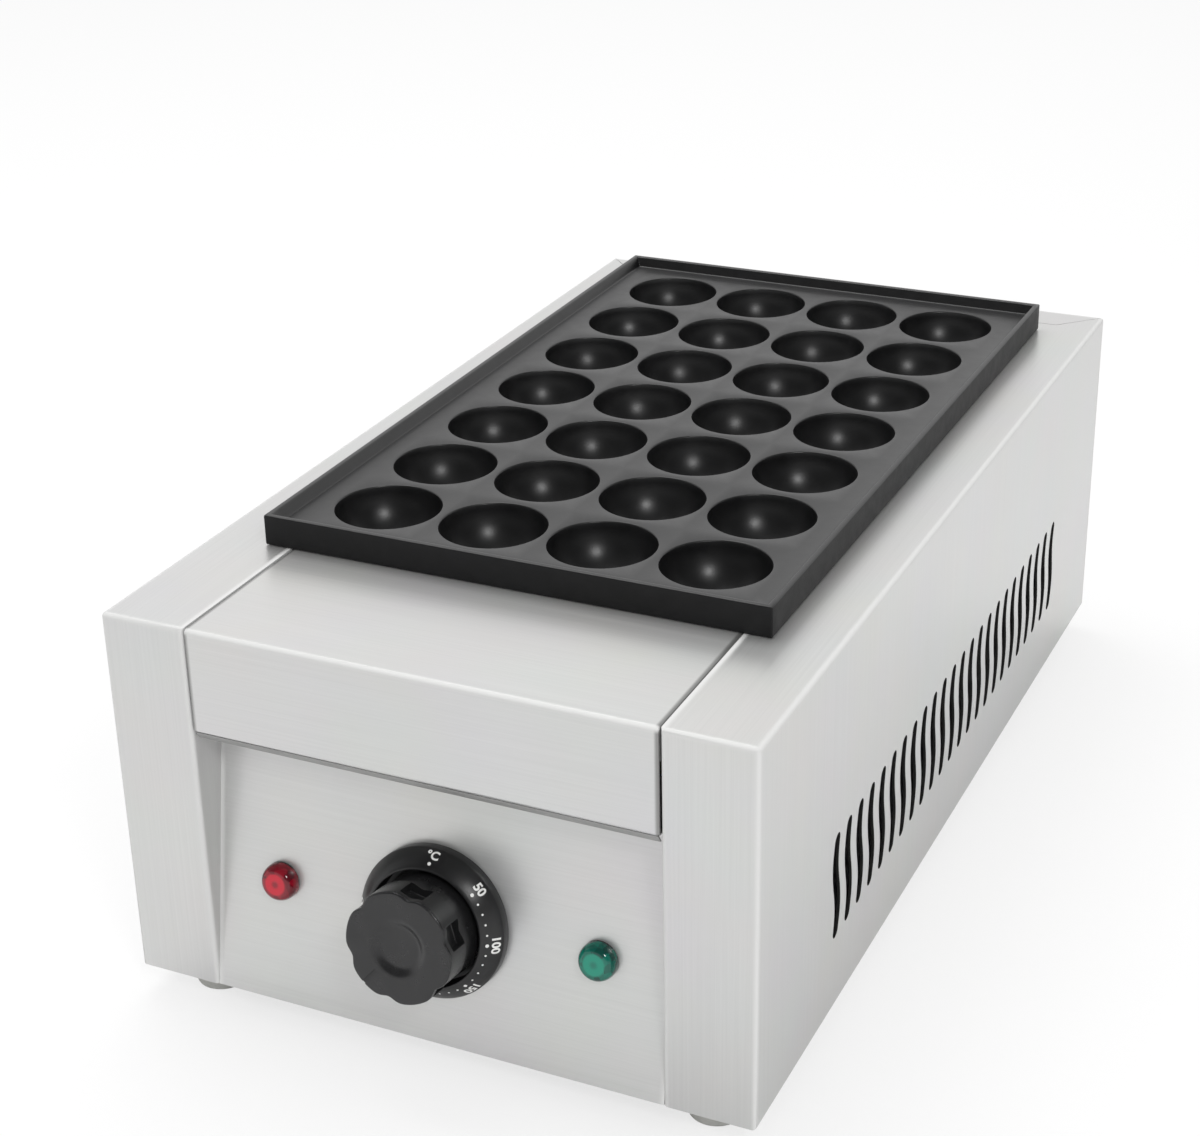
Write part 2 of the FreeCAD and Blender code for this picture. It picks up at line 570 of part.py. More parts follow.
def base_plate():
    body = new_body("base_plate")
    front = f"{FRONT} + panel_recess_bottom + panel_thick/cos({LEAN}) + base_gap"
    half = f"{SIDE} - sheet - base_gap"
    rear = f"{REAR} - 2*sheet"
    block(body, "Additive", "plate", (f"-({half})", half), (front, rear),
          ("foot_height + sheet", BASE_TOP))
    block(body, "Additive", "rear_lip", (f"-({half})", half), (f"{rear} - base_thick", rear),
          ("foot_height + sheet", f"{BASE_TOP} + base_lip"))
    for side in (-1, 1):
        block(body, "Subtractive", f"fold_slot_{side + 1}",
              both(f"{STRIP_EDGE} - base_gap", f"{STRIP_EDGE} + sheet + base_gap", side),
              (FRONT, f"{FRONT} + front_return + base_gap"), ("0", TOP))
        for i in range(3):
            rod(body, "Subtractive", f"screw_hole_{side + 1}{i}", "z",
                (side_at("base_screw_inset", side), base_screw_at(i), "foot_height"),
                "screw_radius + slip", "3*base_thick")
        for end in (-1, 1):
            rod(body, "Subtractive", f"foot_hole_{side + 1}{end + 1}", "z",
                (side_at("foot_side", side), f"{end}*({REAR} - foot_end)", "foot_height"),
                "bolt_radius + slip", "3*base_thick")
        for i in range(3):
            rod(body, "Subtractive", f"lip_hole_{side + 1}{i}", "y", (side_at("rear_screw_inset", side),
                f"{rear} - 2*base_thick", rear_screw_up(i)), "screw_radius + slip", "3*base_thick")
    rod(body, "Subtractive", "earth_hole", "z", (STUD_X, BLOCK_Y, "foot_height"),
        "bolt_radius + slip", "3*base_thick")


# Pan

def cup_places():
    for row in range(int(number("cup_rows"))):
        for column in range(int(number("cup_columns"))):
            x = f"({column} - (cup_columns - 1)/2)*{PITCH_X}"
            y = f"{PAN_MIDDLE} + ({row} - (cup_rows - 1)/2)*{PITCH_Y}"
            yield f"{row + 1}_{column + 1}", x, y


def lower_ball(name, x, y, radius):
    ball = doc.addObject("Part::Sphere", name)
    ball.Angle1 = -90
    ball.Angle2 = 0
    link(ball, "Radius", radius)
    place(ball, (x, y, PAN_FLOOR))
    return ball


def loose_block(name, x, y, z):
    box = doc.addObject("Part::Box", name)
    for prop, (low, high) in zip(("Length", "Width", "Height"), (x, y, z)):
        link(box, prop, f"({high}) - ({low})")
    place(box, (x[0], y[0], z[0]))
    return box


def rim_room():
    """The shallow tray of the pan, whose walls slope in to the floor."""
    room = doc.addObject("Part::Wedge", "rim_room")
    for axis, half in (("X", PAN_SIDE), ("Z", PAN_HALF)):
        link(room, axis + "min", f"rim_foot - {half}")
        link(room, axis + "max", f"{half} - rim_foot")
        link(room, axis + "2min", f"rim_top - {half}")
        link(room, axis + "2max", f"{half} - rim_top")
    link(room, "Ymin", "0")
    link(room, "Ymax", "rim_rise")
    room.Placement = FreeCAD.Placement(FreeCAD.Vector(), FreeCAD.Rotation(FreeCAD.Vector(1, 0, 0), 90))
    place(room, ("0", PAN_MIDDLE, PAN_FLOOR))
    return room


def pan():
    half = PAN_SIDE
    front = f"{PAN_MIDDLE} - {PAN_HALF}"
    rear = f"{PAN_MIDDLE} + {PAN_HALF}"
    plate_foot = f"{PAN_FLOOR} - pan_plate"
    shell = doc.addObject("Part::Cut", "pan_shell")
    shell.Base = loose_block("pan_block", (f"-{half}", half), (front, rear),
                             (PAN_SEAT, f"{PAN_SEAT} + pan_height"))
    shell.Tool = loose_block("pan_under", (f"pan_skirt - {half}", f"{half} - pan_skirt"),
                             (f"{front} + pan_skirt", f"{rear} - pan_skirt"), ("0", plate_foot))
    domes = [lower_ball("dome_" + name, x, y, "cup_radius + cup_wall") for name, x, y in cup_places()]
    cups = [lower_ball("cup_" + name, x, y, "cup_radius") for name, x, y in cup_places()]
    lug_front = f"{WELL_FRONT} + lug_gap"
    lug_rear = f"{WELL_REAR} - lug_gap"
    lugs = []
    for i in (-1, 0, 1):
        x = (f"{i}*{PITCH_X} - lug_width/2", f"{i}*{PITCH_X} + lug_width/2")
        z = (f"{TOP} - lug_reach", f"{PAN_FLOOR} - pan_plate/2")
        lugs.append(loose_block(f"lug_front_{i + 1}", x, (lug_front, f"{lug_front} + lug_thick"), z))
        lugs.append(loose_block(f"lug_rear_{i + 1}", x, (f"{lug_rear} - lug_thick", lug_rear), z))
    cast = doc.addObject("Part::MultiFuse", "pan_cast")
    cast.Shapes = [shell] + domes + lugs
    room = doc.addObject("Part::MultiFuse", "pan_room")
    room.Shapes = [rim_room()] + cups
    sharp = doc.addObject("Part::Cut", "pan_sharp")
    sharp.Base = cast
    sharp.Tool = room
    doc.recompute()
    finished = doc.addObject("Part::Fillet", "pan")
    finished.Label = "pan"
    finished.Base = sharp
    finished.Edges = pan_edges(sharp.Shape)
    sub_parts.append(finished)


def pan_edges(shape):
    """Cup mouths, the outer top edge and the four outer corners, each with its radius."""
    mouth = number("cup_round")
    outside = number("pan_round")
    radius = number("cup_radius")
    half = number(PAN_SIDE)
    middle = number(PAN_MIDDLE)
    reach = number(PAN_HALF)
    top = shape.BoundBox.ZMax
    rounded = []
    for i, edge in enumerate(shape.Edges, start=1):
        box = edge.BoundBox
        round_mouth = edge.Closed and abs(edge.Length - 2*math.pi*radius) < 0.01
        level = box.ZLength < 0.001
        on_side = abs(abs(box.XMin) - half) < 0.01 and box.XLength < 0.001
        on_end = abs(abs(box.YMin - middle) - reach) < 0.01 and box.YLength < 0.001
        if round_mouth and level:
            rounded.append((i, mouth, mouth))
        elif level and abs(box.ZMin - top) < 0.001 and (on_side or on_end):
            rounded.append((i, outside, outside))
        elif on_side and on_end:
            rounded.append((i, outside, outside))
    return rounded


# Heating

def heating_tray():
    body = new_body("heating_tray")
    block(body, "Additive", "outer", (f"-{TRAY_SIDE}", TRAY_SIDE), (TRAY_FRONT, TRAY_REAR),
          (f"{TRAY_FLOOR} - tray_sheet", f"{TOP} - sheet"))
    for side in (-1, 1):
        block(body, "Additive", f"flange_{side + 1}",
              both(MIDDLE_EDGE, f"{MIDDLE_EDGE} + tray_flange", side), (TRAY_FRONT, TRAY_REAR),
              (f"{TOP} - sheet - tray_sheet", f"{TOP} - sheet"))
    block(body, "Subtractive", "inner", (f"-{MIDDLE_EDGE}", MIDDLE_EDGE),
          (f"{TRAY_FRONT} + tray_sheet", f"{TRAY_REAR} - tray_sheet"), (TRAY_FLOOR, f"{TOP}"))
    for i, x in enumerate(ELEMENT_LEGS):
        rod(body, "Subtractive", f"element_hole_{i}", "y", (x, f"{TRAY_FRONT} - tray_sheet", ELEMENT_UP),
            "sleeve_radius + slip", "3*tray_sheet")
    for side in (-1, 1):
        block(body, "Subtractive", f"web_slot_{side + 1}",
              both(f"{MIDDLE_EDGE} - sheet - slip", MIDDLE_EDGE, side),
              (f"{TRAY_FRONT} - tray_sheet", f"{TRAY_REAR} + tray_sheet"),
              (f"{TOP} - collar_depth - slip", TOP))
    rod(body, "Subtractive", "capillary_hole", "y", ("0", f"{TRAY_FRONT} - tray_sheet", ELEMENT_UP),
        "bulb_radius + slip", "3*tray_sheet")


def insulation():
    body = new_body("insulation_slab")
    block(body, "Additive", "slab", (f"-{TRAY_SIDE}", TRAY_SIDE), (TRAY_FRONT, TRAY_REAR),
          (WOOL_FOOT, f"{TRAY_FLOOR} - tray_sheet"))


def heat_shield():
    body = new_body("heat_shield")
    outer = f"{TRAY_SIDE} + tray_sheet"
    foot = f"{WOOL_FOOT} - tray_sheet"
    block(body, "Additive", "outer", (f"-({outer})", outer), (TRAY_FRONT, TRAY_REAR),
          (foot, f"{foot} + shield_height"))
    block(body, "Subtractive", "inner", (f"-{TRAY_SIDE}", TRAY_SIDE),
          (f"{TRAY_FRONT} - tray_sheet", f"{TRAY_REAR} + tray_sheet"), (WOOL_FOOT, TOP))


def heating_element(label, side):
    body = new_body(label)
    front = f"{TRAY_FRONT} - element_tail"
    bend = f"({WELL_REAR} - element_margin - {PITCH_X}/2 - element_radius)"
    for i, x in enumerate(ELEMENT_LEGS[2:] if side > 0 else ELEMENT_LEGS[:2]):
        rod(body, "Additive", f"leg_{i}", "y", (x, front, ELEMENT_UP),
            "element_radius", f"{bend} - ({front})")
        rod(body, "Additive", f"pin_{i}", "y", (x, f"{front} - pin_length", ELEMENT_UP),
            "pin_radius", "2*pin_length")
    hairpin = body.newObject("PartDesign::AdditiveTorus", "hairpin")
    link(hairpin, "Radius1", f"{PITCH_X}/2")
    link(hairpin, "Radius2", "element_radius")
    hairpin.Angle3 = 180
    place(hairpin, (f"{side}*{PITCH_X}", bend, ELEMENT_UP))


def element_fittings():
    body = new_body("element_fittings")
    for i, x in enumerate(ELEMENT_LEGS):
        rod(body, "Additive", f"sleeve_{i}", "y", (x, f"{TRAY_FRONT} - sleeve_reach", ELEMENT_UP),
            "sleeve_radius", "sleeve_reach + tray_sheet + sheet/2 + hex_thick/2")
        hexagon(body, f"hex_{i}", "y", (x, f"{TRAY_FRONT} - hex_thick", ELEMENT_UP),
                "hex_corner", "hex_thick")
    for i, x in enumerate(ELEMENT_LEGS):
        rod(body, "Subtractive", f"bore_{i}", "y", (x, f"{TRAY_FRONT} - 2*sleeve_reach", ELEMENT_UP),
            "element_radius", "4*sleeve_reach")


def element_rack(label, middle):
    body = new_body(label)
    half = f"1.5*{PITCH_X} + element_radius + rack_side"
    across = (f"-({half})", half)
    block(body, "Additive", "plate", across, (f"{middle} - rack_sheet/2", f"{middle} + rack_sheet/2"),
          (TRAY_FLOOR, f"{ELEMENT_UP} + element_radius + rack_cap"))
    block(body, "Additive", "foot", across, (f"{middle} - rack_sheet/2", f"{middle} + rack_foot"),
          (TRAY_FLOOR, f"{TRAY_FLOOR} + rack_sheet"))
    for i, x in enumerate(ELEMENT_LEGS):
        rod(body, "Subtractive", f"tube_hole_{i}", "y", (x, f"{middle} - rack_sheet", ELEMENT_UP),
            "element_radius + slip", "2*rack_sheet")
    rod(body, "Subtractive", "bulb_hole", "y", ("0", f"{middle} - rack_sheet", ELEMENT_UP),
        "bulb_radius + slip", "2*rack_sheet")


def sensing_bulb():
    body = new_body("sensing_bulb")
    rod(body, "Additive", "bulb", "y", ("0", f"{RACKS[0]} - bulb_length/2", ELEMENT_UP),
        "bulb_radius", "bulb_length")


def limiter():
    body = new_body("temperature_limiter")
    up = f"{TOP} - cutout_drop"
    x = f"-{PITCH_X}"
    rod(body, "Additive", "case", "y", (x, f"{TRAY_FRONT} - cutout_thick", up),
        "cutout_radius", "cutout_thick")
    block(body, "Additive", "ears", (f"{x} - 1.5*cutout_radius", f"{x} + 1.5*cutout_radius"),
          (f"{TRAY_FRONT} - tray_sheet", TRAY_FRONT),
          (f"{up} - cutout_radius/2", f"{up} + cutout_radius/2"))
    for side in (-1, 1):
        tab_x = f"{x} + {side}*cutout_radius/2"
        block(body, "Additive", f"tab_{side + 1}", (f"{tab_x} - tab_wide/4", f"{tab_x} + tab_wide/4"),
              (f"{TRAY_FRONT} - cutout_thick - tab_long", f"{TRAY_FRONT} - cutout_thick/2"),
              (f"{up} - tab_thick/2", f"{up} + tab_thick/2"))


# Dial, knob and thermostat, in the panel's frame

def dial_ring():
    body = new_body("dial_ring", on_panel=True)
    outer = number("dial_radius")
    edge = number("dial_edge")
    crest = number("dial_crest")
    height = number("dial_height")
    well = number("dial_well")
    floor = number("dial_floor")
    hole = number("dial_hole")
    chord = math.hypot(outer - crest, height - edge)
    bulge = number("dial_bulge")
    shoulder = ((outer + crest)/2 + bulge*(height - edge)/chord,
                (height + edge)/2 + bulge*(outer - crest)/chord)
    corners = [(well, height), (well, floor), (hole, floor), (hole, 0), (outer, 0), (outer, edge)]
    sketch = new_sketch(body, "profile", "XZ_Plane")
    sketch.addGeometry(three_point_arc(corners[-1], shoulder, (crest, height)), False)
    sketch.addGeometry(straight((crest, height), corners[0]), False)
    for start, end in zip(corners[:-1], corners[1:]):
        sketch.addGeometry(straight(start, end), False)
    link(sketch, "AttachmentOffset.Base.z", "-dial_up")
    doc.recompute()
    ring = body.newObject("PartDesign::Revolution", "ring")
    ring.Profile = sketch
    ring.ReferenceAxis = (sketch, ["V_Axis"])
    ring.Angle = 360
    doc.recompute()
    for side in (-1, 1):
        rod(body, "Subtractive", f"screw_hole_{side + 1}", "z",
            (f"{side}*stat_screw_offset", "dial_up", "-dial_floor"),
            "screw_radius + slip", "3*dial_floor")


def knob():
    body = new_body("knob", on_panel=True)
    axis = ("0", "dial_up")
    rod(body, "Additive", "skirt", "z", (*axis, "knob_lift"), "knob_skirt", "knob_neck - knob_lift")
    rod(body, "Additive", "grip", "z", (*axis, "knob_neck"), "knob_face", "knob_height - knob_neck")
    lobes = int(number("knob_lobes"))
    for i in range(lobes):
        turn = f"mark_turn + {i + 0.5}*360/knob_lobes"
        reach = "knob_face + flute_radius - flute_depth"
        rod(body, "Subtractive", f"flute_{i}", "z",
            (f"({reach})*sin({turn})", f"dial_up + ({reach})*cos({turn})", "knob_neck"),
            "flute_radius", "knob_height")
    for i in range(lobes):
        cut_pocket(body, i)
    rod(body, "Subtractive", "hollow", "z", (*axis, "0"), "knob_hollow", "hollow_top")
    rod(body, "Additive", "boss", "z", (*axis, "knob_lift + dial_floor/4"),
        "knob_boss", "hollow_top - knob_lift")
    rod(body, "Subtractive", "shaft_bore", "z", (*axis, "0"), "shaft_radius + shaft_slip", "shaft_top")
    dish = body.newObject("PartDesign::SubtractiveSphere", "dish")
    bowl = "((dish_radius^2 + dish_depth^2) / (2*dish_depth))"
    link(dish, "Radius", bowl)
    place(dish, (*axis, f"knob_height - dish_depth + {bowl}"))
    mark = block(body, "Subtractive", "pointer", ("0", "mark_width"), ("0", "2*mark_length"),
                 ("0", "2*mark_depth"))
    mark.Placement = FreeCAD.Placement(FreeCAD.Vector(), FreeCAD.Rotation(FreeCAD.Vector(0, 0, 1), 45))
    link(mark, "Placement.Rotation.Angle", "360 - mark_turn")
    reach = "(knob_face - mark_length)"
    place(mark, (f"{reach}*sin(mark_turn) - mark_width/2*cos(mark_turn)",
                 f"dial_up + {reach}*cos(mark_turn) + mark_width/2*sin(mark_turn)",
                 "knob_height - mark_depth"))


def cut_pocket(body, i):
    """A pocket between two lobes that opens outwards, under the face plate."""
    turn = f"(mark_turn + {i + 0.5}*360/knob_lobes)"
    inner = "(knob_face - pocket_depth)"
    pocket = block(body, "Subtractive", f"pocket_{i}", ("0", "pocket_width"), ("0", "2*pocket_depth"),
                   ("knob_neck", "knob_height - face_thick"))
    pocket.Placement = FreeCAD.Placement(FreeCAD.Vector(), FreeCAD.Rotation(FreeCAD.Vector(0, 0, 1), 45))
    link(pocket, "Placement.Rotation.Angle", f"720 - {turn}")
    place(pocket, (f"{inner}*sin({turn}) - pocket_width/2*cos({turn})",
                   f"dial_up + {inner}*cos({turn}) + pocket_width/2*sin({turn})", "knob_neck"))


def shaft():
    body = new_body("thermostat_shaft", on_panel=True)
    rod(body, "Additive", "shaft", "z", ("0", "dial_up", "-shaft_root"),
        "shaft_radius", "shaft_root + shaft_top - slip")


def thermostat():
    body = new_body("thermostat_body", on_panel=True)
    low = "dial_up - stat_tall/2"
    block(body, "Additive", "case", ("-stat_wide/2", "stat_wide/2"), (low, "dial_up + stat_tall/2"),
          (STAT_REAR, STAT_FRONT))
    rod(body, "Additive", "neck", "z", ("0", "dial_up", "-panel_thick - bush_root"),
        "bush_radius", "panel_thick + bush_root + dial_floor/2")
    rod(body, "Subtractive", "neck_bore", "z", ("0", "dial_up", "-shaft_root - slip"),
        "shaft_radius + bush_slip", "2*shaft_root")
    bore_deep = "stat_screw_deep + screw_room"
    for side in (-1, 1):
        rod(body, "Subtractive", f"screw_bore_{side + 1}", "z", (f"{side}*stat_screw_offset", "dial_up",
            f"-panel_thick - ({bore_deep})"), "screw_radius", f"{bore_deep} + panel_thick")
    for i in range(int(number("tab_count"))):
        x = f"({i} - (tab_count - 1)/2)*tab_pitch"
        block(body, "Additive", f"tab_{i}", (f"{x} - tab_wide/2", f"{x} + tab_wide/2"),
              ("dial_up - tab_thick/2", "dial_up + tab_thick/2"),
              (f"{STAT_REAR} - tab_long", f"{STAT_REAR} + tab_long"))


def thermostat_screws():
    body = new_body("thermostat_screws", on_panel=True)
    for side in (-1, 1):
        x = f"{side}*stat_screw_offset"
        rod(body, "Additive", f"shank_{side + 1}", "z", (x, "dial_up", "-panel_thick - stat_screw_deep"),
            "screw_radius", "panel_thick + stat_screw_deep + dial_floor + head_thick/2")
        rod(body, "Additive", f"head_{side + 1}", "z", (x, "dial_up", "dial_floor"),
            "head_radius", "head_thick")


# Lamps, in the panel's frame

def lamp(colour, side):
    x = f"{side}*lamp_offset"
    housing = new_body(f"{colour}_lamp_housing", on_panel=True)
    rod(housing, "Additive", "rim", "z", (x, "lamp_up", "0"), "lamp_rim", "lamp_rim_thick")
    rod(housing, "Additive", "barrel", "z", (x, "lamp_up", "-lamp_depth"),
        "lamp_barrel", "lamp_depth + lamp_rim_thick/2")
    block(housing, "Additive", "tab", (f"{x} - tab_wide/4", f"{x} + tab_wide/4"),
          ("lamp_up - tab_thick/2", "lamp_up + tab_thick/2"),
          ("-lamp_depth - tab_long", "-lamp_depth + tab_thick"))
    lens = new_body(f"{colour}_lamp_lens", on_panel=True)
    rod(lens, "Additive", "side", "z", (x, "lamp_up", "lamp_rim_thick"), "lens_radius", "lens_side")
    dome = lens.newObject("PartDesign::AdditiveEllipsoid", "dome")
    link(dome, "Radius1", "lens_dome")
    link(dome, "Radius2", "lens_radius")
    link(dome, "Radius3", "lens_radius")
    dome.Angle1 = 0
    dome.Angle2 = 90
    place(dome, (x, "lamp_up", "lamp_rim_thick + lens_side"))
    nut = new_body(f"{colour}_lamp_nut", on_panel=True)
    hexagon(nut, "nut", "z", (x, "lamp_up", "-panel_thick - lamp_nut_thick"),
            "lamp_nut_corner", "lamp_nut_thick")
    rod(nut, "Subtractive", "thread", "z", (x, "lamp_up", "-lamp_depth"), "lamp_barrel", "lamp_depth")


# Feet and fasteners

def foot(label, side, end):
    body = new_body(label)
    at = (side_at("foot_side", side), f"{end}*({REAR} - foot_end)")
    cone(body, "Additive", "pad", "z", (*at, "0"), "foot_base", "foot_radius", "foot_height")
    rod(body, "Subtractive", "recess", "z", (*at, "-foot_recess"), "bolt_head + 4*slip", "2*foot_recess")
    rod(body, "Subtractive", "bore", "z", (*at, "0"), "bolt_radius + slip", "2*foot_height")


def foot_bolts():
    bolts = new_body("foot_bolts")
    for name, x, y in foot_places():
        rod(bolts, "Additive", "shank_" + name, "z", (x, y, "foot_recess - head_thick"), "bolt_radius",
            f"{BASE_TOP} + nut_thick + bolt_proud - foot_recess + head_thick")
        rod(bolts, "Additive", "head_" + name, "z", (x, y, "foot_recess - 1.5*head_thick"),
            "bolt_head", "1.5*head_thick")
    nuts = new_body("foot_nuts")
    for name, x, y in foot_places():
        hexagon(nuts, "nut_" + name, "z", (x, y, BASE_TOP), "nut_corner", "nut_thick")
    for name, x, y in foot_places():
        rod(nuts, "Subtractive", "bore_" + name, "z", (x, y, BASE_TOP), "bolt_radius", "2*nut_thick")


def foot_places():
    for side in (-1, 1):
        for end in (-1, 1):
            yield f"{side + 1}{end + 1}", side_at("foot_side", side), f"{end}*({REAR} - foot_end)"


def screws(label, axis, places, start, head_first, grip):
    """Round-headed screws: the head stands before the start point or beyond the grip."""
    body = new_body(label)
    for i, at in enumerate(places):
        x, y, z = at
        along = {"x": 0, "y": 1, "z": 2}[axis]
        shank = [x, y, z]
        head = [x, y, z]
        shank[along] = start
        head[along] = f"{start} - head_thick" if head_first else f"{start} + {grip}"
        rod(body, "Additive", f"shank_{i}", axis, shank, "screw_radius", grip)
        rod(body, "Additive", f"head_{i}", axis, head, "head_radius", "head_thick")


def rear_screws():
    places = [(side_at("rear_screw_inset", side), "0", rear_screw_up(i))
              for side in (-1, 1) for i in range(3)]
    screws("rear_screws", "y", places, f"({REAR} - 6*sheet)", False, "6*sheet")


def base_screws():
    places = [(side_at("base_screw_inset", side), base_screw_at(i), "0")
              for side in (-1, 1) for i in range(3)]
    screws("base_screws", "z", places, "foot_height", True, "6*sheet")


def panel_screws():
    body = new_body("panel_screws", on_panel=True)
    for side in (-1, 1):
        inside = f"({STRIP_EDGE} - panel_thick)"
        for i in range(2):
            at = (f"panel_screw_up + {i}*panel_screw_pitch", "-panel_screw_in")
            shank = inside if side > 0 else f"-{inside} - 5*sheet"
            head = f"{inside} - head_thick" if side > 0 else f"-{inside}"
            rod(body, "Additive", f"shank_{side + 1}{i}", "x", (shank, *at), "screw_radius", "5*sheet")
            rod(body, "Additive", f"head_{side + 1}{i}", "x", (head, *at), "head_radius", "head_thick")


# Cord inlet, terminals and inner leads

def cord_inlet():
    def at(y):
        return INLET_X, y, "inlet_z"

    neck = new_body("gland_body")
    rod(neck, "Additive", "neck", "y", at(f"{REAR} - gland_inside"),
        "gland_thread", "gland_inside + gland_flange")
    hexagon(neck, "flange", "y", at(REAR), "gland_hex", "gland_flange")
    rod(neck, "Subtractive", "bore", "y", at(f"{REAR} - 2*gland_inside"), "inlet_bore", "4*gland_inside")
    seal = new_body("gland_seal")
    seal_long = "(gland_reach - gland_flange - gland_cap_wall)"
    rod(seal, "Additive", "ring", "y", at(f"{REAR} + gland_flange"), "gland_thread", seal_long)
    rod(seal, "Subtractive", "bore", "y", at(f"{REAR}"), "inlet_bore", "2*gland_reach")
    cap = new_body("gland_cap")
    cap_front = f"{REAR} + gland_flange"
    hexagon(cap, "hex", "y", at(cap_front), "gland_hex", f"{seal_long}/2")
    across_flats = "gland_hex*cos(30)"
    cone(cap, "Additive", "nose", "y", at(f"{cap_front} + {seal_long}/2"), across_flats, "gland_thread",
         f"gland_reach - gland_flange - {seal_long}/2")
    rod(cap, "Subtractive", "seal_room", "y", at(cap_front), "gland_thread", seal_long)
    rod(cap, "Subtractive", "bore", "y", at(cap_front), "inlet_bore", "2*gland_reach")
    lock = new_body("gland_lock_nut")
    hexagon(lock, "nut", "y", at(f"{REAR} - sheet - gland_locknut"), "gland_hex", "gland_locknut")
    rod(lock, "Subtractive", "thread", "y", at(f"{REAR} - 2*gland_inside"),
        "gland_thread", "3*gland_inside")


def terminal_block():
    body = new_body("terminal_block")
    block(body, "Additive", "case", (f"{BLOCK_X} - block_wide/2", f"{BLOCK_X} + block_wide/2"),
          (f"{BLOCK_Y} - block_deep/2", f"{BLOCK_Y} + block_deep/2"),
          (BASE_TOP, f"{BASE_TOP} + block_tall"))
    wells = new_body("terminal_screws")
    for i in (-1, 0, 1):
        x = f"{BLOCK_X} + {i}*way_pitch"
        rod(body, "Subtractive", f"way_{i + 1}", "y",
            (x, f"{BLOCK_Y} - block_deep", f"{BASE_TOP} + way_up"), "way_radius", "2*block_deep")
        for end in (-1, 1):
            name = f"{i + 1}{end + 1}"
            y = f"{BLOCK_Y} + {end}*block_deep/4"
            rod(body, "Subtractive", "well_" + name, "z", (x, y, f"{BASE_TOP} + way_up"),
                "screw_radius + slip", "2*block_tall")
            rod(wells, "Additive", "screw_" + name, "z", (x, y, f"{BASE_TOP} + way_up + lead_radius"),
                "screw_radius", "block_tall - way_up - lead_radius - screw_room")


def earth_stud():
    body = new_body("earth_stud")
    at = (STUD_X, BLOCK_Y)
    rod(body, "Additive", "stud", "z", (*at, "foot_height + sheet"),
        "bolt_radius", "base_thick + stud_tall")
    nuts = new_body("earth_nuts")
    hexagon(nuts, "lower", "z", (*at, BASE_TOP), "nut_corner", "nut_thick")
    hexagon(nuts, "upper", "z", (*at, f"{BASE_TOP} + nut_thick + 2*lead_radius"),
            "nut_corner", "nut_thick")
    rod(nuts, "Subtractive", "thread", "z", (*at, BASE_TOP), "bolt_radius", "stud_tall")


def bent_tube(points, bend, radius):
    """A round tube along straight runs, with an arc at each inner point."""
    edges = []
    start = points[0]
    for before, corner, after in zip(points[:-2], points[1:-1], points[2:]):
        inward = (corner - before).normalize()
        outward = (after - corner).normalize()
        half_turn = inward.getAngle(outward) / 2
        cut = bend * math.tan(half_turn)
        arc_start = corner - inward*cut
        arc_end = corner + outward*cut
        inside = (outward - inward).normalize()
        middle = corner + inside*(bend/math.cos(half_turn) - bend)
        edges.append(Part.LineSegment(start, arc_start).toShape())
        edges.append(Part.Arc(arc_start, middle, arc_end).toShape())
        start = arc_end
    edges.append(Part.LineSegment(start, points[-1]).toShape())
    ring = Part.makeCircle(radius, points[0], points[1] - points[0])
    return Part.Wire(edges).makePipeShell([Part.Wire([ring])], True, True)


def tube_part(label, points, radius):
    tube = doc.addObject("Part::Feature", label)
    tube.Label = label
    tube.Shape = bent_tube(points, number("lead_bend"), radius)
    tube.Placement = FreeCAD.Placement()
    sub_parts.append(tube)


def world(x, up, out):
    """A point of the panel's frame in the part's frame."""
    lean = math.radians(number(LEAN))
    y = number(f"{FRONT} + panel_recess_bottom") + up*math.sin(lean) - out*math.cos(lean)
    z = number("foot_height") + up*math.cos(lean) + out*math.sin(lean)
    return FreeCAD.Vector(x, y, z)


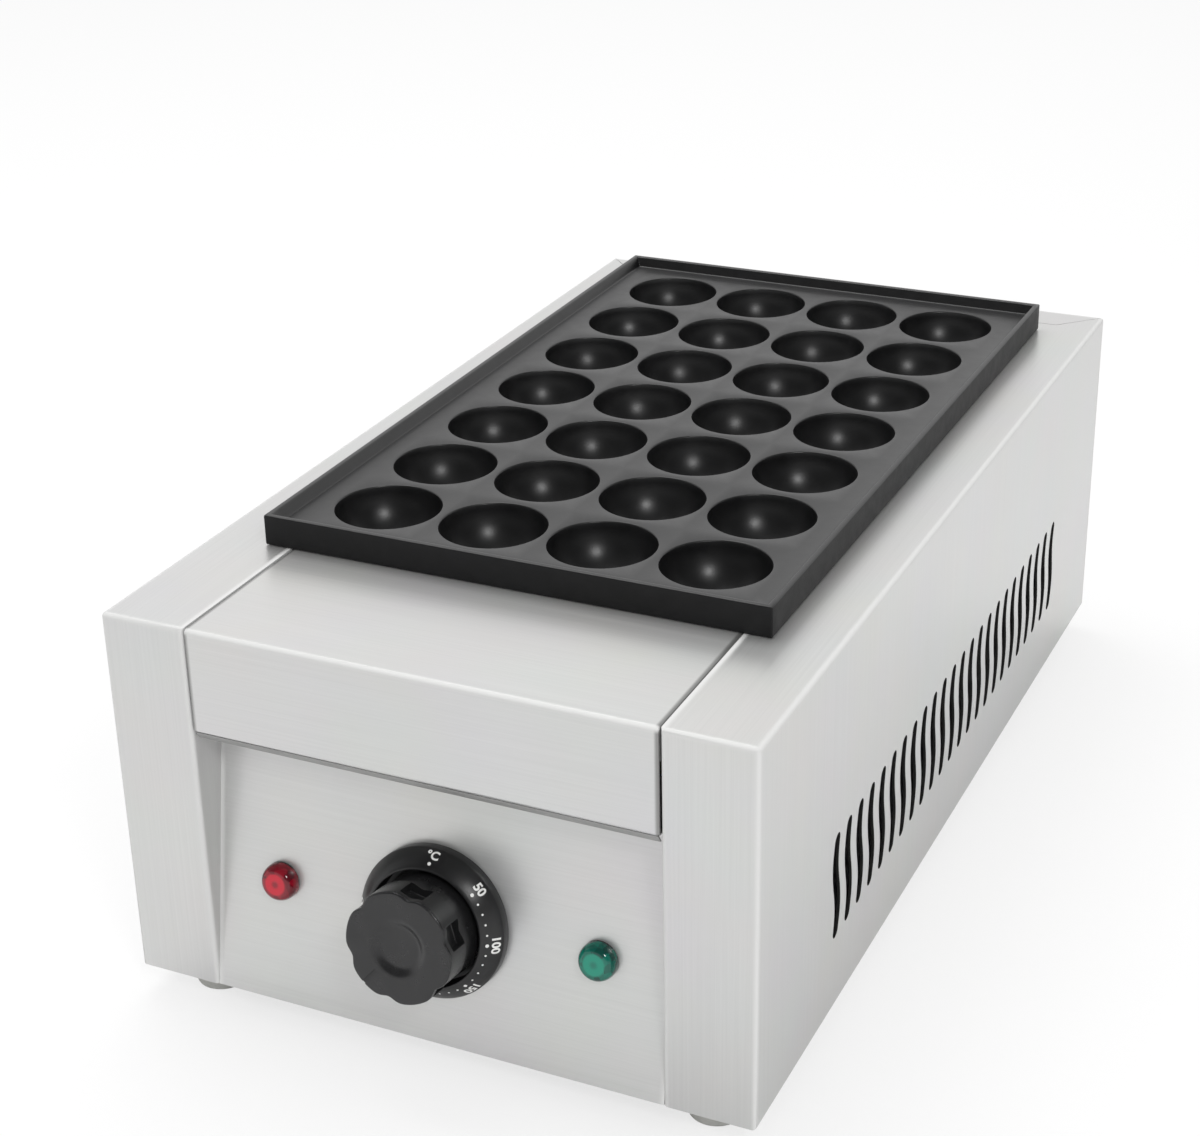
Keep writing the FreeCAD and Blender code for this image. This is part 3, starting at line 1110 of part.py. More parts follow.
def inner_leads():
    """Leads between the terminal block, thermostat, lamps, heating tubes and earth stud."""
    room = number("lead_room")
    thick = number("lead_radius")
    thin = number("lamp_lead_radius")
    legs = [number(x) for x in ELEMENT_LEGS]
    way_z = number(f"{BASE_TOP} + way_up")
    tray_front = number(TRAY_FRONT)
    element_z = number(ELEMENT_UP)
    pin_y = number(f"{TRAY_FRONT} - element_tail - pin_length")
    tab_out = number(f"{STAT_REAR} - tab_long")
    tabs = [world(number(f"({i} - (tab_count - 1)/2)*tab_pitch"), number("dial_up"), tab_out)
            for i in range(int(number("tab_count")))]
    lamp_out = number("-lamp_depth - tab_long")
    block_front = number(f"{BLOCK_Y} - block_deep/2")
    way_x = [number(f"{BLOCK_X} + {i}*way_pitch") for i in (-1, 0, 1)]
    vector = FreeCAD.Vector
    turn_y = tabs[0].y + room + number("lead_bend")
    pin_turn = pin_y - room
    low_run = tray_front + room

    live = [vector(way_x[0], block_front, way_z), vector(way_x[0], low_run, way_z),
            vector(tabs[1].x, low_run, way_z), vector(tabs[1].x, low_run, tabs[1].z), tabs[1]]
    tube_part("lead_live", live, thick)
    neutral = [vector(way_x[2], block_front, way_z), vector(way_x[2], pin_turn, way_z),
               vector(way_x[2], pin_turn, element_z), vector(legs[3], pin_turn, element_z),
               vector(legs[3], pin_y, element_z)]
    tube_part("lead_neutral", neutral, thick)
    rise = element_z - 3*room
    switched = [tabs[2], vector(tabs[2].x, turn_y, tabs[2].z), vector(tabs[2].x, turn_y, rise),
                vector(tabs[2].x, pin_turn, rise), vector(legs[0], pin_turn, rise),
                vector(legs[0], pin_turn, element_z), vector(legs[0], pin_y, element_z)]
    tube_part("lead_switched", switched, thick)
    bridge = [vector(legs[1], pin_y, element_z), vector(legs[1], pin_turn, element_z),
              vector(legs[2], pin_turn, element_z), vector(legs[2], pin_y, element_z)]
    tube_part("lead_bridge", bridge, thick)
    block_rear = number(f"{BLOCK_Y} + block_deep/2")
    stud_x = number(STUD_X)
    stud_rear = number(f"{BLOCK_Y} + bolt_radius")
    lug_z = number(f"{BASE_TOP} + nut_thick + lead_radius")
    earth = [vector(way_x[1], block_rear, way_z), vector(way_x[1], block_rear + 2*room, way_z),
             vector(stud_x, block_rear + 2*room, lug_z), vector(stud_x, stud_rear, lug_z)]
    tube_part("lead_earth", earth, thick)
    for label, side, tab in (("lead_red_lamp", -1, tabs[0]), ("lead_green_lamp", 1, tabs[3])):
        start = world(side*number("lamp_offset"), number("lamp_up"), lamp_out)
        route = [start, vector(start.x, turn_y, start.z), vector(tab.x, turn_y, tab.z), tab]
        tube_part(label, route, thin)
    capillary(element_z, tray_front - room)


def capillary(element_z, drop_y):
    """From the bulb through the tray's front wall to the back of the thermostat."""
    bulb_front = number(f"{RACKS[0]} - bulb_length/2")
    back = world(0, number("dial_up + stat_tall/4"), number(f"{STAT_REAR} - 2*slip"))
    vector = FreeCAD.Vector
    route = [vector(0, bulb_front, element_z), vector(0, drop_y, element_z),
             vector(0, drop_y, back.z), back]
    tube_part("capillary_tube", route, number("capillary_radius"))


def lead_saddles():
    body = new_body("lead_saddles")
    for i in range(2):
        y = f"{BLOCK_Y} - saddle_first - {i}*saddle_pitch"
        block(body, "Additive", f"saddle_{i}", (f"{BLOCK_X} - 2*way_pitch", f"{BLOCK_X} + 2*way_pitch"),
              (f"{y} - saddle_deep/2", f"{y} + saddle_deep/2"), (BASE_TOP, f"{BASE_TOP} + saddle_tall"))
    for side in (-1, 1):
        rod(body, "Subtractive", f"groove_{side + 1}", "y", (f"{BLOCK_X} + {side}*way_pitch",
            f"{BLOCK_Y} - 2*saddle_first - saddle_pitch", f"{BASE_TOP} + way_up"),
            "lead_radius + slip", "2*saddle_first + saddle_pitch")


def check_and_write():
    doc.recompute()
    for obj in doc.Objects:
        bad = {"Invalid", "Error"} & set(obj.State)
        if bad:
            raise RuntimeError(f"{obj.Label}: {sorted(bad)} {obj.getStatusString()}")
    for obj in sub_parts:
        if obj.Shape.isNull() or not obj.Shape.isValid() or not obj.Shape.Solids:
            raise RuntimeError(f"{obj.Label}: no valid solid")
    os.makedirs("parts", exist_ok=True)
    for obj in sub_parts:
        obj.Shape.exportStep(f"parts/{obj.Label}.step")
        box = obj.Shape.BoundBox
        print(f"{obj.Label}: {len(obj.Shape.Solids)} solids, {obj.Shape.Volume:.0f} mm3, "
              f"y {box.YMin:.1f} to {box.YMax:.1f}, z {box.ZMin:.1f} to {box.ZMax:.1f}")


for word, side in (("left", -1), ("right", 1)):
    side_cover(f"{word}_side_cover", side)
middle_cover()
rear_cover()
control_panel()
base_plate()
pan()
heating_tray()
insulation()
heat_shield()
heating_element("heating_element_left", -1)
heating_element("heating_element_right", 1)
element_fittings()
element_rack("element_rack_front", RACKS[0])
element_rack("element_rack_rear", RACKS[1])
sensing_bulb()
limiter()
dial_ring()
knob()
shaft()
thermostat()
thermostat_screws()
lamp("red", -1)
lamp("green", 1)
for side_word, side in (("left", -1), ("right", 1)):
    for end_word, end in (("front", -1), ("rear", 1)):
        foot(f"foot_{end_word}_{side_word}", side, end)
foot_bolts()
rear_screws()
base_screws()
panel_screws()
cord_inlet()
terminal_block()
earth_stud()
inner_leads()
lead_saddles()
check_and_write()
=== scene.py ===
import json
import math
import bpy
from mathutils import Euler, Matrix, Vector

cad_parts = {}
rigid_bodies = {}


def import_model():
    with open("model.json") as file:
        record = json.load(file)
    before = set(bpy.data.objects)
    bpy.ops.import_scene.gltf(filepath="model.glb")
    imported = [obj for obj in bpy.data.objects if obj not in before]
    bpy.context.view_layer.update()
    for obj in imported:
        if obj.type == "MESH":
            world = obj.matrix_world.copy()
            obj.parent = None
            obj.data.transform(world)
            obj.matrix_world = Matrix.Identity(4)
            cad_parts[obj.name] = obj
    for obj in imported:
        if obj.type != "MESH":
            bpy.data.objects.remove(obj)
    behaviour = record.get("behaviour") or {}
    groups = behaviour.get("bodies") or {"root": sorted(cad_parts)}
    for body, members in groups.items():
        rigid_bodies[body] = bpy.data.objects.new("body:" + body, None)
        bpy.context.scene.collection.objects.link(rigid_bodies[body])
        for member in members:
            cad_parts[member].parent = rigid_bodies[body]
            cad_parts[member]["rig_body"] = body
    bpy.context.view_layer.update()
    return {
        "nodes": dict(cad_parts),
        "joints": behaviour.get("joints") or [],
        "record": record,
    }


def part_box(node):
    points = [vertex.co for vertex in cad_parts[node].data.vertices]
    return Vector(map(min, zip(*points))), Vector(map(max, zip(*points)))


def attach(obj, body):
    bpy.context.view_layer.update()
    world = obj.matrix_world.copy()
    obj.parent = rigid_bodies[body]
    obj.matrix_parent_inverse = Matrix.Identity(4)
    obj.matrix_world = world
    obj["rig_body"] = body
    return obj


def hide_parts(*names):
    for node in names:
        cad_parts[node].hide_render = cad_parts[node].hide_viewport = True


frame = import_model()

# Electric takoyaki maker: stainless covers, a lift-off cast pan with round cups, a dial with a knob, and
# two lamps.
# Lengths are in metres. MM turns a length written in millimetres into metres.
MM = 0.001

# Camera, as the photograph was taken
CAMERA_AT = Vector((327.9, -755.3, 486.6)) * MM
CAMERA_AZIMUTH = 25.384
CAMERA_ELEVATION = 25.267
CAMERA_ROLL = -1.248
CAMERA_LENS = 70.23
SENSOR_WIDTH = 36

# Sizes read from the frame
LOW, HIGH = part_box("left_side_cover")[0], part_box("right_side_cover")[1]
SIDE = HIGH.x
FRONT = LOW.y
REAR = HIGH.y
TOP = HIGH.z
FOOT_TOP = LOW.z
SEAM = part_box("right_side_cover")[0].x
MIDDLE_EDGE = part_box("top_cover")[1].x
APRON_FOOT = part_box("top_cover")[0].z
PAN_LOW, PAN_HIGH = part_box("pan")

knob_turn = next(joint for joint in frame["joints"] if joint["name"] == "knob_turn")
OUT = Vector(knob_turn["axis"]).normalized()
UP = OUT.cross(Vector((1, 0, 0))).normalized()
JOINT_OFF_PANEL = 10 * MM
DIAL_CENTRE = Vector(knob_turn["pos_m"]) - OUT * JOINT_OFF_PANEL
ON_PANEL = Matrix.Translation(DIAL_CENTRE) @ Matrix((Vector((1, 0, 0)), UP, OUT)).transposed().to_4x4()

# Materials

def colour(hex_text, alpha=1.0):
    """A colour written as sRGB hex, as linear RGBA."""
    parts = [int(hex_text[i:i + 2], 16) / 255 for i in (1, 3, 5)]
    linear = [c / 12.92 if c <= 0.04045 else ((c + 0.055) / 1.055) ** 2.4 for c in parts]
    return (*linear, alpha)


def add_node(material, kind, settings=None, inputs=None):
    """Adds a node. An input is a plain value, or a pair of another node and its output."""
    made = material.node_tree.nodes.new(kind)
    for name, value in (settings or {}).items():
        setattr(made, name, value)
    for name, value in (inputs or {}).items():
        if isinstance(value, tuple) and isinstance(value[0], bpy.types.Node):
            material.node_tree.links.new(value[0].outputs[value[1]], made.inputs[name])
        else:
            made.inputs[name].default_value = value
    return made


def new_material(name):
    material = bpy.data.materials.new(name)
    material.use_nodes = True
    return material, material.node_tree.nodes["Principled BSDF"]


def join(material, source, shader, socket):
    """Links a pair of a node and its output to a socket."""
    material.node_tree.links.new(source[0].outputs[source[1]], shader.inputs[socket])


def set_sockets(shader, **values):
    for socket, value in values.items():
        shader.inputs[socket.replace("_", " ")].default_value = value


# Sockets of a Mix node: the factor, then two colours and their mix, then two numbers and their mix
FACTOR = 0
COLOUR_A, COLOUR_B, COLOUR_MIX = 6, 7, 2
NUMBER_A, NUMBER_B, NUMBER_MIX = 2, 3, 0


def blend(material, factor, first, second, way="MIX"):
    """A colour that goes from the first to the second as the factor goes from 0 to 1."""
    return add_node(material, "ShaderNodeMix", {"data_type": "RGBA", "blend_type": way},
                    {FACTOR: factor, COLOUR_A: first, COLOUR_B: second}), COLOUR_MIX


def between(material, factor, first, second):
    """A number that goes from the first to the second as the factor goes from 0 to 1."""
    return add_node(material, "ShaderNodeMix", {"data_type": "FLOAT"},
                    {FACTOR: factor, NUMBER_A: first, NUMBER_B: second}), NUMBER_MIX


def in_range(material, value, span, to=(0.0, 1.0), kind="LINEAR"):
    """Turns the values of one span into those of another."""
    return add_node(material, "ShaderNodeMapRange", {"interpolation_type": kind},
                    {"Value": value, "From Min": span[0], "From Max": span[1],
                     "To Min": to[0], "To Max": to[1]}), 0


# Most of a noise texture's values lie in this span
NOISE_SPAN = (0.3, 0.7)

# Brushed sheet
GRAIN_RUN = 90 * MM
GRAIN_SPACING = 0.7 * MM
GRAIN_STRENGTH = 0.05
GRAIN_DEPTH = 0.02 * MM
CLOUD_SIZE = 45 * MM
CLOUD_SHARE = 0.06
# Painted highlight along the folds: full within the first distance, gone beyond the second, and its roughness
FOLD_HIGHLIGHT_CORE = 0.5 * MM
FOLD_HIGHLIGHT_FADE = 2.3 * MM
FOLD_HIGHLIGHT_ROUGHNESS = 0.7
# Painted shadow beside the seams: full within the first distance, gone beyond the second
SEAM_SHADOW_CORE = 0.5 * MM
SEAM_SHADOW_FADE = 1.8 * MM
SHEET_METALLIC = 0.62
SHEET_ROUGHNESS = (0.30, 0.35)
FACES_UP = 0.7


def streaks(material, place, run):
    """Noise drawn out into lines along the axes in run."""
    stretch = tuple(1 / (GRAIN_RUN if axis in run else GRAIN_SPACING) for axis in "xyz")
    moved = add_node(material, "ShaderNodeMapping", {}, {"Vector": (place, "Object"), "Scale": stretch})
    return add_node(material, "ShaderNodeTexNoise", {},
                    {"Vector": (moved, "Vector"), "Scale": 1.0, "Detail": 5.0, "Roughness": 0.62}), 0


def near_lines(material, place, lines, inside, outside):
    """1 within a distance of the lines and 0 beyond another. A line is a point with None along its run."""
    size = add_node(material, "ShaderNodeVectorMath", {"operation": "ABSOLUTE"}, {0: (place, "Object")})
    gaps = []
    for line in lines:
        across = tuple(0.0 if value is None else 1.0 for value in line)
        spot = tuple(abs(value or 0.0) for value in line)
        flat = add_node(material, "ShaderNodeVectorMath", {"operation": "MULTIPLY"},
                        {0: (size, "Vector"), 1: across})
        gap = add_node(material, "ShaderNodeVectorMath", {"operation": "DISTANCE"},
                       {0: (flat, "Vector"), 1: spot})
        gaps.append((gap, "Value"))
    nearest = gaps[0]
    for gap in gaps[1:]:
        least = add_node(material, "ShaderNodeMath", {"operation": "MINIMUM"}, {0: nearest, 1: gap})
        nearest = least, "Value"
    return in_range(material, nearest, (inside, outside), (1.0, 0.0), "SMOOTHSTEP")


def brushed_stainless(name, run, highlighted_folds, top_run=None, shadowed_seams=()):
    """Brushed stainless sheet: fine parallel scratches, a painted highlight along the folds and a painted
    shadow beside the seams.
    """
    material, shader = new_material(name)
    place = add_node(material, "ShaderNodeTexCoord")
    grain = streaks(material, place, run)
    if top_run:
        on_top = streaks(material, place, top_run)
        facing = add_node(material, "ShaderNodeNewGeometry")
        parts = add_node(material, "ShaderNodeSeparateXYZ", {}, {0: (facing, "Normal")})
        level = add_node(material, "ShaderNodeMath", {"operation": "GREATER_THAN"},
                         {0: (parts, "Z"), 1: FACES_UP})
        grain = between(material, (level, 0), grain, on_top)
    cloudy = add_node(material, "ShaderNodeTexNoise", {},
                      {"Vector": (place, "Object"), "Scale": 1 / CLOUD_SIZE, "Detail": 2.0})
    tone = blend(material, in_range(material, grain, NOISE_SPAN), colour("#CDCDCC"), colour("#D3D3D2"))
    tone = blend(material, CLOUD_SHARE, tone, (cloudy, "Color"), "MULTIPLY")
    # Painted shadow: the colour goes grey next to the seams.
    if shadowed_seams:
        painted_seam_shadow = near_lines(material, place, shadowed_seams, SEAM_SHADOW_CORE, SEAM_SHADOW_FADE)
        tone = blend(material, painted_seam_shadow, tone, colour("#8E8E8D"))
    # Painted highlight: near the folds the colour is lighter, not metallic and rough, so each fold shows as a
    # soft light line.
    painted_fold_highlight = near_lines(material, place, highlighted_folds, FOLD_HIGHLIGHT_CORE, FOLD_HIGHLIGHT_FADE)
    tone = blend(material, painted_fold_highlight, tone, colour("#DADAD9"))
    rough = in_range(material, grain, NOISE_SPAN, SHEET_ROUGHNESS)
    relief = add_node(material, "ShaderNodeBump", {},
                      {"Strength": GRAIN_STRENGTH, "Distance": GRAIN_DEPTH, "Height": grain})
    join(material, between(material, painted_fold_highlight, SHEET_METALLIC, 0.0), shader, "Metallic")
    join(material, tone, shader, "Base Color")
    join(material, between(material, painted_fold_highlight, rough, FOLD_HIGHLIGHT_ROUGHNESS), shader, "Roughness")
    join(material, (relief, 0), shader, "Normal")
    return material


GLOSS_DRIFT = 0.08
RELIEF_STRENGTH = 0.6


def surface(name, dark, light, patch, rough, metallic=0.0, relief=0.0, grit=0.3 * MM, **sockets):
    """A material with patches from dark to light, nearly even gloss and, where relief is given, a fine grit."""
    material, shader = new_material(name)
    place = add_node(material, "ShaderNodeTexCoord")
    clouds = add_node(material, "ShaderNodeTexNoise", {},
                      {"Vector": (place, "Object"), "Scale": 1 / patch, "Detail": 4.0, "Roughness": 0.6}), 0
    tone = blend(material, in_range(material, clouds, NOISE_SPAN), colour(dark), colour(light))
    join(material, tone, shader, "Base Color")
    gloss = in_range(material, clouds, NOISE_SPAN, (rough*(1 - GLOSS_DRIFT), rough*(1 + GLOSS_DRIFT)))
    join(material, gloss, shader, "Roughness")
    if relief:
        grains = add_node(material, "ShaderNodeTexNoise", {},
                          {"Vector": (place, "Object"), "Scale": 1 / grit, "Detail": 2.0})
        bump = add_node(material, "ShaderNodeBump", {},
                        {"Strength": RELIEF_STRENGTH, "Distance": relief, "Height": (grains, 0)})
        join(material, (bump, 0), shader, "Normal")
    set_sockets(shader, Metallic=metallic, **sockets)
    return material


# Painted light through a lens, from its axis outwards: the lamp, the bright face, the deep flank with its
# prisms
LAMP_SHOWS = (0.4 * MM, 1.9 * MM)
FACE_ENDS = (3.3 * MM, 4.3 * MM)
PRISM_SIZE = 2.6 * MM


def lens_centre(tint):
    low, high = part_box(tint + "_lamp_lens")
    return (low + high) / 2


def tinted_lens(name, tint, bulb, bright, deep):
    """Tinted polycarbonate with the light through it painted: the lamp shows dimly in the middle of a bright
    flat face with deep flanks.
    """
    material, shader = new_material(name)
    place = add_node(material, "ShaderNodeTexCoord")
    off_centre = add_node(material, "ShaderNodeVectorMath", {"operation": "SUBTRACT"},
                          {0: (place, "Object"), 1: tuple(lens_centre(tint))})
    out_by = add_node(material, "ShaderNodeVectorMath", {"operation": "DOT_PRODUCT"},
                      {0: (off_centre, "Vector"), 1: tuple(OUT)})
    on_axis = add_node(material, "ShaderNodeVectorMath", {"operation": "SCALE"},
                       {0: tuple(OUT), "Scale": (out_by, "Value")})
    off_axis = add_node(material, "ShaderNodeVectorMath", {"operation": "DISTANCE"},
                        {0: (off_centre, "Vector"), 1: (on_axis, "Vector")}), "Value"
    prisms = add_node(material, "ShaderNodeTexVoronoi", {"feature": "F1"},
                      {"Vector": (place, "Object"), "Scale": 1 / PRISM_SIZE})
    facet = add_node(material, "ShaderNodeSeparateColor", {}, {0: (prisms, "Color")})
    inner = in_range(material, off_axis, LAMP_SHOWS, kind="SMOOTHSTEP")
    outer = in_range(material, off_axis, FACE_ENDS, kind="SMOOTHSTEP")
    # Painted light through the lens: a dim lamp, a bright face and deep flanks flecked by the prisms.
    flank = blend(material, (facet, 0), colour(deep), colour(bulb))
    face = blend(material, inner, colour(bulb), colour(bright))
    join(material, blend(material, outer, face, flank), shader, "Base Color")
    set_sockets(shader, Roughness=0.12, IOR=1.58, Specular_IOR_Level=0.2,
                Coat_Weight=0.6, Coat_Roughness=0.05)
    return material


STRIPE_SIZE = 22 * MM


def striped_lead():
    """Green silicone lead with a yellow stripe wound round it."""
    material, shader = new_material("green and yellow silicone")
    place = add_node(material, "ShaderNodeTexCoord")
    bands = add_node(material, "ShaderNodeTexWave", {"bands_direction": "DIAGONAL"},
                     {"Vector": (place, "Object"), "Scale": 1 / STRIPE_SIZE, "Distortion": 0.2})
    half = add_node(material, "ShaderNodeMath", {"operation": "GREATER_THAN"}, {0: (bands, 1), 1: 0.5})
    join(material, blend(material, (half, 0), colour("#2F8A36"), colour("#E2CC2A")), shader, "Base Color")
    set_sockets(shader, Roughness=0.5)
    return material


# Lines along which a highlight is painted into the sheet's colour
side_highlighted_folds = [(SIDE, None, TOP), (SIDE, FRONT, None), (None, FRONT, TOP), (SEAM, FRONT, None),
              (SEAM, None, TOP), (SIDE, None, FOOT_TOP)]
middle_highlighted_folds = [(None, FRONT, TOP)]
# Seams beside which a shadow is painted
middle_shadowed_seams = [(MIDDLE_EDGE, None, TOP), (MIDDLE_EDGE, FRONT, None)]
panel_highlighted_folds = [(SEAM, None, None)]
rear_highlighted_folds = [(None, REAR, TOP)]

FINISHES = {
    # Stainless sheet brushed along its length: soft drawn-out reflections, a painted highlight along the folds
    # and, on the middle cover, a painted shadow beside the seams.
    "side": brushed_stainless("upright brushed stainless", "z", side_highlighted_folds, top_run="y"),
    "middle": brushed_stainless("cross brushed stainless", "x", middle_highlighted_folds, shadowed_seams=middle_shadowed_seams),
    "panel": brushed_stainless("panel brushed stainless", "x", panel_highlighted_folds),
    "rear": brushed_stainless("rear brushed stainless", "x", rear_highlighted_folds),
    # The apron's turned edge: a darker, duller steel that paints in the shade band under the apron.
    "hem": surface("stainless edge in painted shade", "#969695", "#A0A09F", 12 * MM, 0.5, metallic=0.3),
    # Laser-cut edge: scorched dark, and painted almost black as the shade inside the vent slots.
    "shaded_cut_edge": surface("laser-cut edge in painted shade", "#101011", "#1B1A19", 3 * MM, 0.6),
    # Cast outer wall under a thinner coat: as dark as the plate, with less gloss.
    "coated_side": surface("thinly coated cast wall", "#121213", "#19191A", 5 * MM, 0.5,
                           relief=0.04 * MM, grit=0.7 * MM, Specular_IOR_Level=0.3),
    # Mill-finish sheet: duller and cloudier than the covers.
    "plain_steel": surface("mill finish steel", "#8F9092", "#B0B1B2", 9 * MM, 0.42, metallic=1.0,
                           relief=0.02 * MM),
    # Sprayed non-stick coating on cast aluminium: near black, satin, with a fine orange peel.
    "black_nonstick": surface("sprayed non-stick coating", "#0B0B0C", "#121213", 5 * MM, 0.34,
                              relief=0.02 * MM, grit=0.7 * MM, Specular_IOR_Level=0.6),
    # Thermoset moulding: black with a soft sheen that draws its lobes.
    "black_bakelite": surface("moulded black bakelite", "#1A1A1B", "#232324", 6 * MM, 0.26,
                              relief=0.015 * MM, grit=0.35 * MM),
    # Satin phenolic: a little darker than the knob, so that its print stands out.
    "dial_black": surface("satin black phenolic", "#151516", "#1D1D1E", 6 * MM, 0.33,
                          relief=0.015 * MM, grit=0.35 * MM),
    # Screen-printed ink: flat white, slightly grey where it is thin.
    "white_print": surface("white screen print", "#DCDCDA", "#F2F2F0", 1.5 * MM, 0.5),
    # Tinted polycarbonate over a small lamp: a painted bright flat face and deep flanks for the light through
    # it, and a hard highlight from its gloss.
    "red_lens": tinted_lens("red polycarbonate", "red", "#8A0E22", "#C4122C", "#4A0312"),
    "green_lens": tinted_lens("green polycarbonate", "green", "#04705E", "#078A72", "#022E2A"),
    # Moulded nylon and polyamide: black, with a grained skin that spreads the light.
    "lamp_plastic": surface("black nylon", "#1C1C1D", "#262627", 4 * MM, 0.45, relief=0.01 * MM),
    "gland_plastic": surface("black polyamide", "#17171A", "#212123", 4 * MM, 0.42, relief=0.02 * MM),
    # Rubber: grey or black, with no shine.
    "foot_rubber": surface("pale grey rubber", "#B4B4B0", "#C6C6C2", 5 * MM, 0.72, relief=0.03 * MM),
    "seal_rubber": surface("black seal rubber", "#161617", "#222223", 3 * MM, 0.7, relief=0.02 * MM),
    # Heating tube: steel sheath that heat has browned.
    "element_sheath": surface("heat-browned steel tube", "#4A423B", "#7A736B", 12 * MM, 0.4, metallic=1.0,
                              relief=0.02 * MM),
    # Bare metals: yellow, red and grey, with clear highlights.
    "brass_fittings": surface("turned brass", "#B08D45", "#C9A65C", 5 * MM, 0.28, metallic=1.0),
    "copper": surface("drawn copper", "#A9603E", "#C67B55", 6 * MM, 0.3, metallic=1.0),
    "zinc_steel": surface("zinc-plated steel", "#A9ABAC", "#C4C6C6", 3 * MM, 0.24, metallic=1.0),
    # Phenolic board: dark brown, hard and dull.
    "phenolic": surface("brown phenolic", "#2A1D17", "#3B2A21", 5 * MM, 0.5, relief=0.02 * MM),
    # Pressed wool: yellow-grey tufts that catch no highlight.
    "mineral_wool": surface("mineral wool", "#7F7450", "#B5AA86", 1.4 * MM, 0.95,
                            relief=0.8 * MM, grit=1.6 * MM),
    # Glazed ceramic: off-white with a wet shine.
    "ceramic_white": surface("glazed steatite", "#DCD8CC", "#EDEAE0", 8 * MM, 0.22),
    # Silicone lead covering: one even colour with a dull sheen.
    "brown_lead": surface("brown silicone", "#5A3118", "#6D3E22", 5 * MM, 0.5),
    "blue_lead": surface("blue silicone", "#16439A", "#2052AE", 5 * MM, 0.5),
    "green_lead": striped_lead(),
}

SHEET_FINISH = {"left_side_cover": "side", "right_side_cover": "side", "top_cover": "middle",
                "control_panel": "panel", "rear_cover": "rear"}

slot_of = {part["node"]: part["material_slot"] for part in frame["record"]["subparts"]}
for name, made in frame["nodes"].items():
    made.data.materials.clear()
    made.data.materials.append(FINISHES[SHEET_FINISH.get(name, slot_of[name])])


# Modelling helpers

TOUCHING = 0.001 * MM
SAME_PLACE = 0.01 * MM
SAME_PLANE = math.radians(0.5)
FACET_ANGLE = 30


def pick(*pieces):
    bpy.ops.object.select_all(action="DESELECT")
    for piece in pieces:
        piece.select_set(True)
    bpy.context.view_layer.objects.active = pieces[0]


def edit(piece):
    """Enters edit mode with the whole mesh selected."""
    pick(piece)
    bpy.ops.object.mode_set(mode="EDIT")
    bpy.ops.mesh.select_all(action="SELECT")


def leave_edit():
    bpy.ops.object.mode_set(mode="OBJECT")


def tidy_mesh(piece, gap=TOUCHING):
    """Merges points that touch and turns all faces outwards."""
    edit(piece)
    bpy.ops.mesh.remove_doubles(threshold=gap)
    bpy.ops.mesh.normals_make_consistent(inside=False)
    leave_edit()


def use_modifier(piece, kind, **settings):
    pick(piece)
    modifier = piece.modifiers.new(kind.lower(), kind)
    for name, value in settings.items():
        setattr(modifier, name, value)
    bpy.ops.object.modifier_apply(modifier=modifier.name)


def soften(piece, width, segments=2, angle=35):
    use_modifier(piece, "BEVEL", width=width, segments=segments, limit_method="ANGLE",
                 angle_limit=math.radians(angle), harden_normals=False)


def merge_flats(piece):
    """Makes one face of the triangles that lie in one plane."""
    edit(piece)
    bpy.ops.mesh.dissolve_limited(angle_limit=SAME_PLANE)
    leave_edit()


def smooth(piece, angle=35):
    pick(piece)
    bpy.ops.object.shade_smooth_by_angle(angle=math.radians(angle))


def keep_flats(piece):
    """Lets the large faces set the shading, so that only the roundings between them are shaded round."""
    use_modifier(piece, "WEIGHTED_NORMAL", mode="FACE_AREA", weight=100, keep_sharp=True)


def carve(piece, *tools):
    for tool in tools:
        use_modifier(piece, "BOOLEAN", operation="DIFFERENCE", solver="EXACT", object=tool)
        bpy.data.objects.remove(tool)


def join_pieces(name, pieces):
    pick(*pieces)
    bpy.ops.object.join()
    pieces[0].name = name
    return pieces[0]


def turned(name, outline, steps=96):
    """Turns an outline of (radius, height) points about Z."""
    bpy.ops.object.select_all(action="DESELECT")
    bpy.ops.mesh.primitive_plane_add(size=MM)
    piece = bpy.context.object
    piece.name = name
    bpy.ops.object.mode_set(mode="EDIT")
    bpy.ops.mesh.select_mode(type="VERT")
    bpy.ops.mesh.select_all(action="SELECT")
    bpy.ops.mesh.merge(type="CENTER")
    radius, height = outline[0]
    bpy.ops.transform.translate(value=(radius, 0, height))
    for (r0, z0), (r1, z1) in zip(outline, outline[1:]):
        bpy.ops.mesh.extrude_vertices_move(TRANSFORM_OT_translate={"value": (r1 - r0, 0, z1 - z0)})
    bpy.ops.mesh.select_all(action="SELECT")
    bpy.ops.mesh.spin(steps=steps, angle=math.tau, center=(0, 0, 0), axis=(0, 0, 1))
    leave_edit()
    tidy_mesh(piece)
    return piece


def box_piece(name, low, high):
    bpy.ops.object.select_all(action="DESELECT")
    middle = [(a + b) / 2 for a, b in zip(low, high)]
    bpy.ops.mesh.primitive_cube_add(size=1, location=middle)
    piece = bpy.context.object
    piece.name = name
    piece.scale = [b - a for a, b in zip(low, high)]
    bpy.ops.object.transform_apply(location=True, rotation=True, scale=True)
    return piece


def arc(centre, radius, start, end, steps):
    """Points of an arc in the (radius, height) plane, angles in degrees from the radius axis."""
    turns = [math.radians(start + (end - start) * i / steps) for i in range(steps + 1)]
    return [(centre[0] + radius * math.cos(a), centre[1] + radius * math.sin(a)) for a in turns]


def dress(piece, body, slot, finish, *nodes):
    piece.data.materials.clear()
    piece.data.materials.append(FINISHES[finish])
    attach(piece, body)
    if nodes:
        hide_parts(*nodes)
    return piece


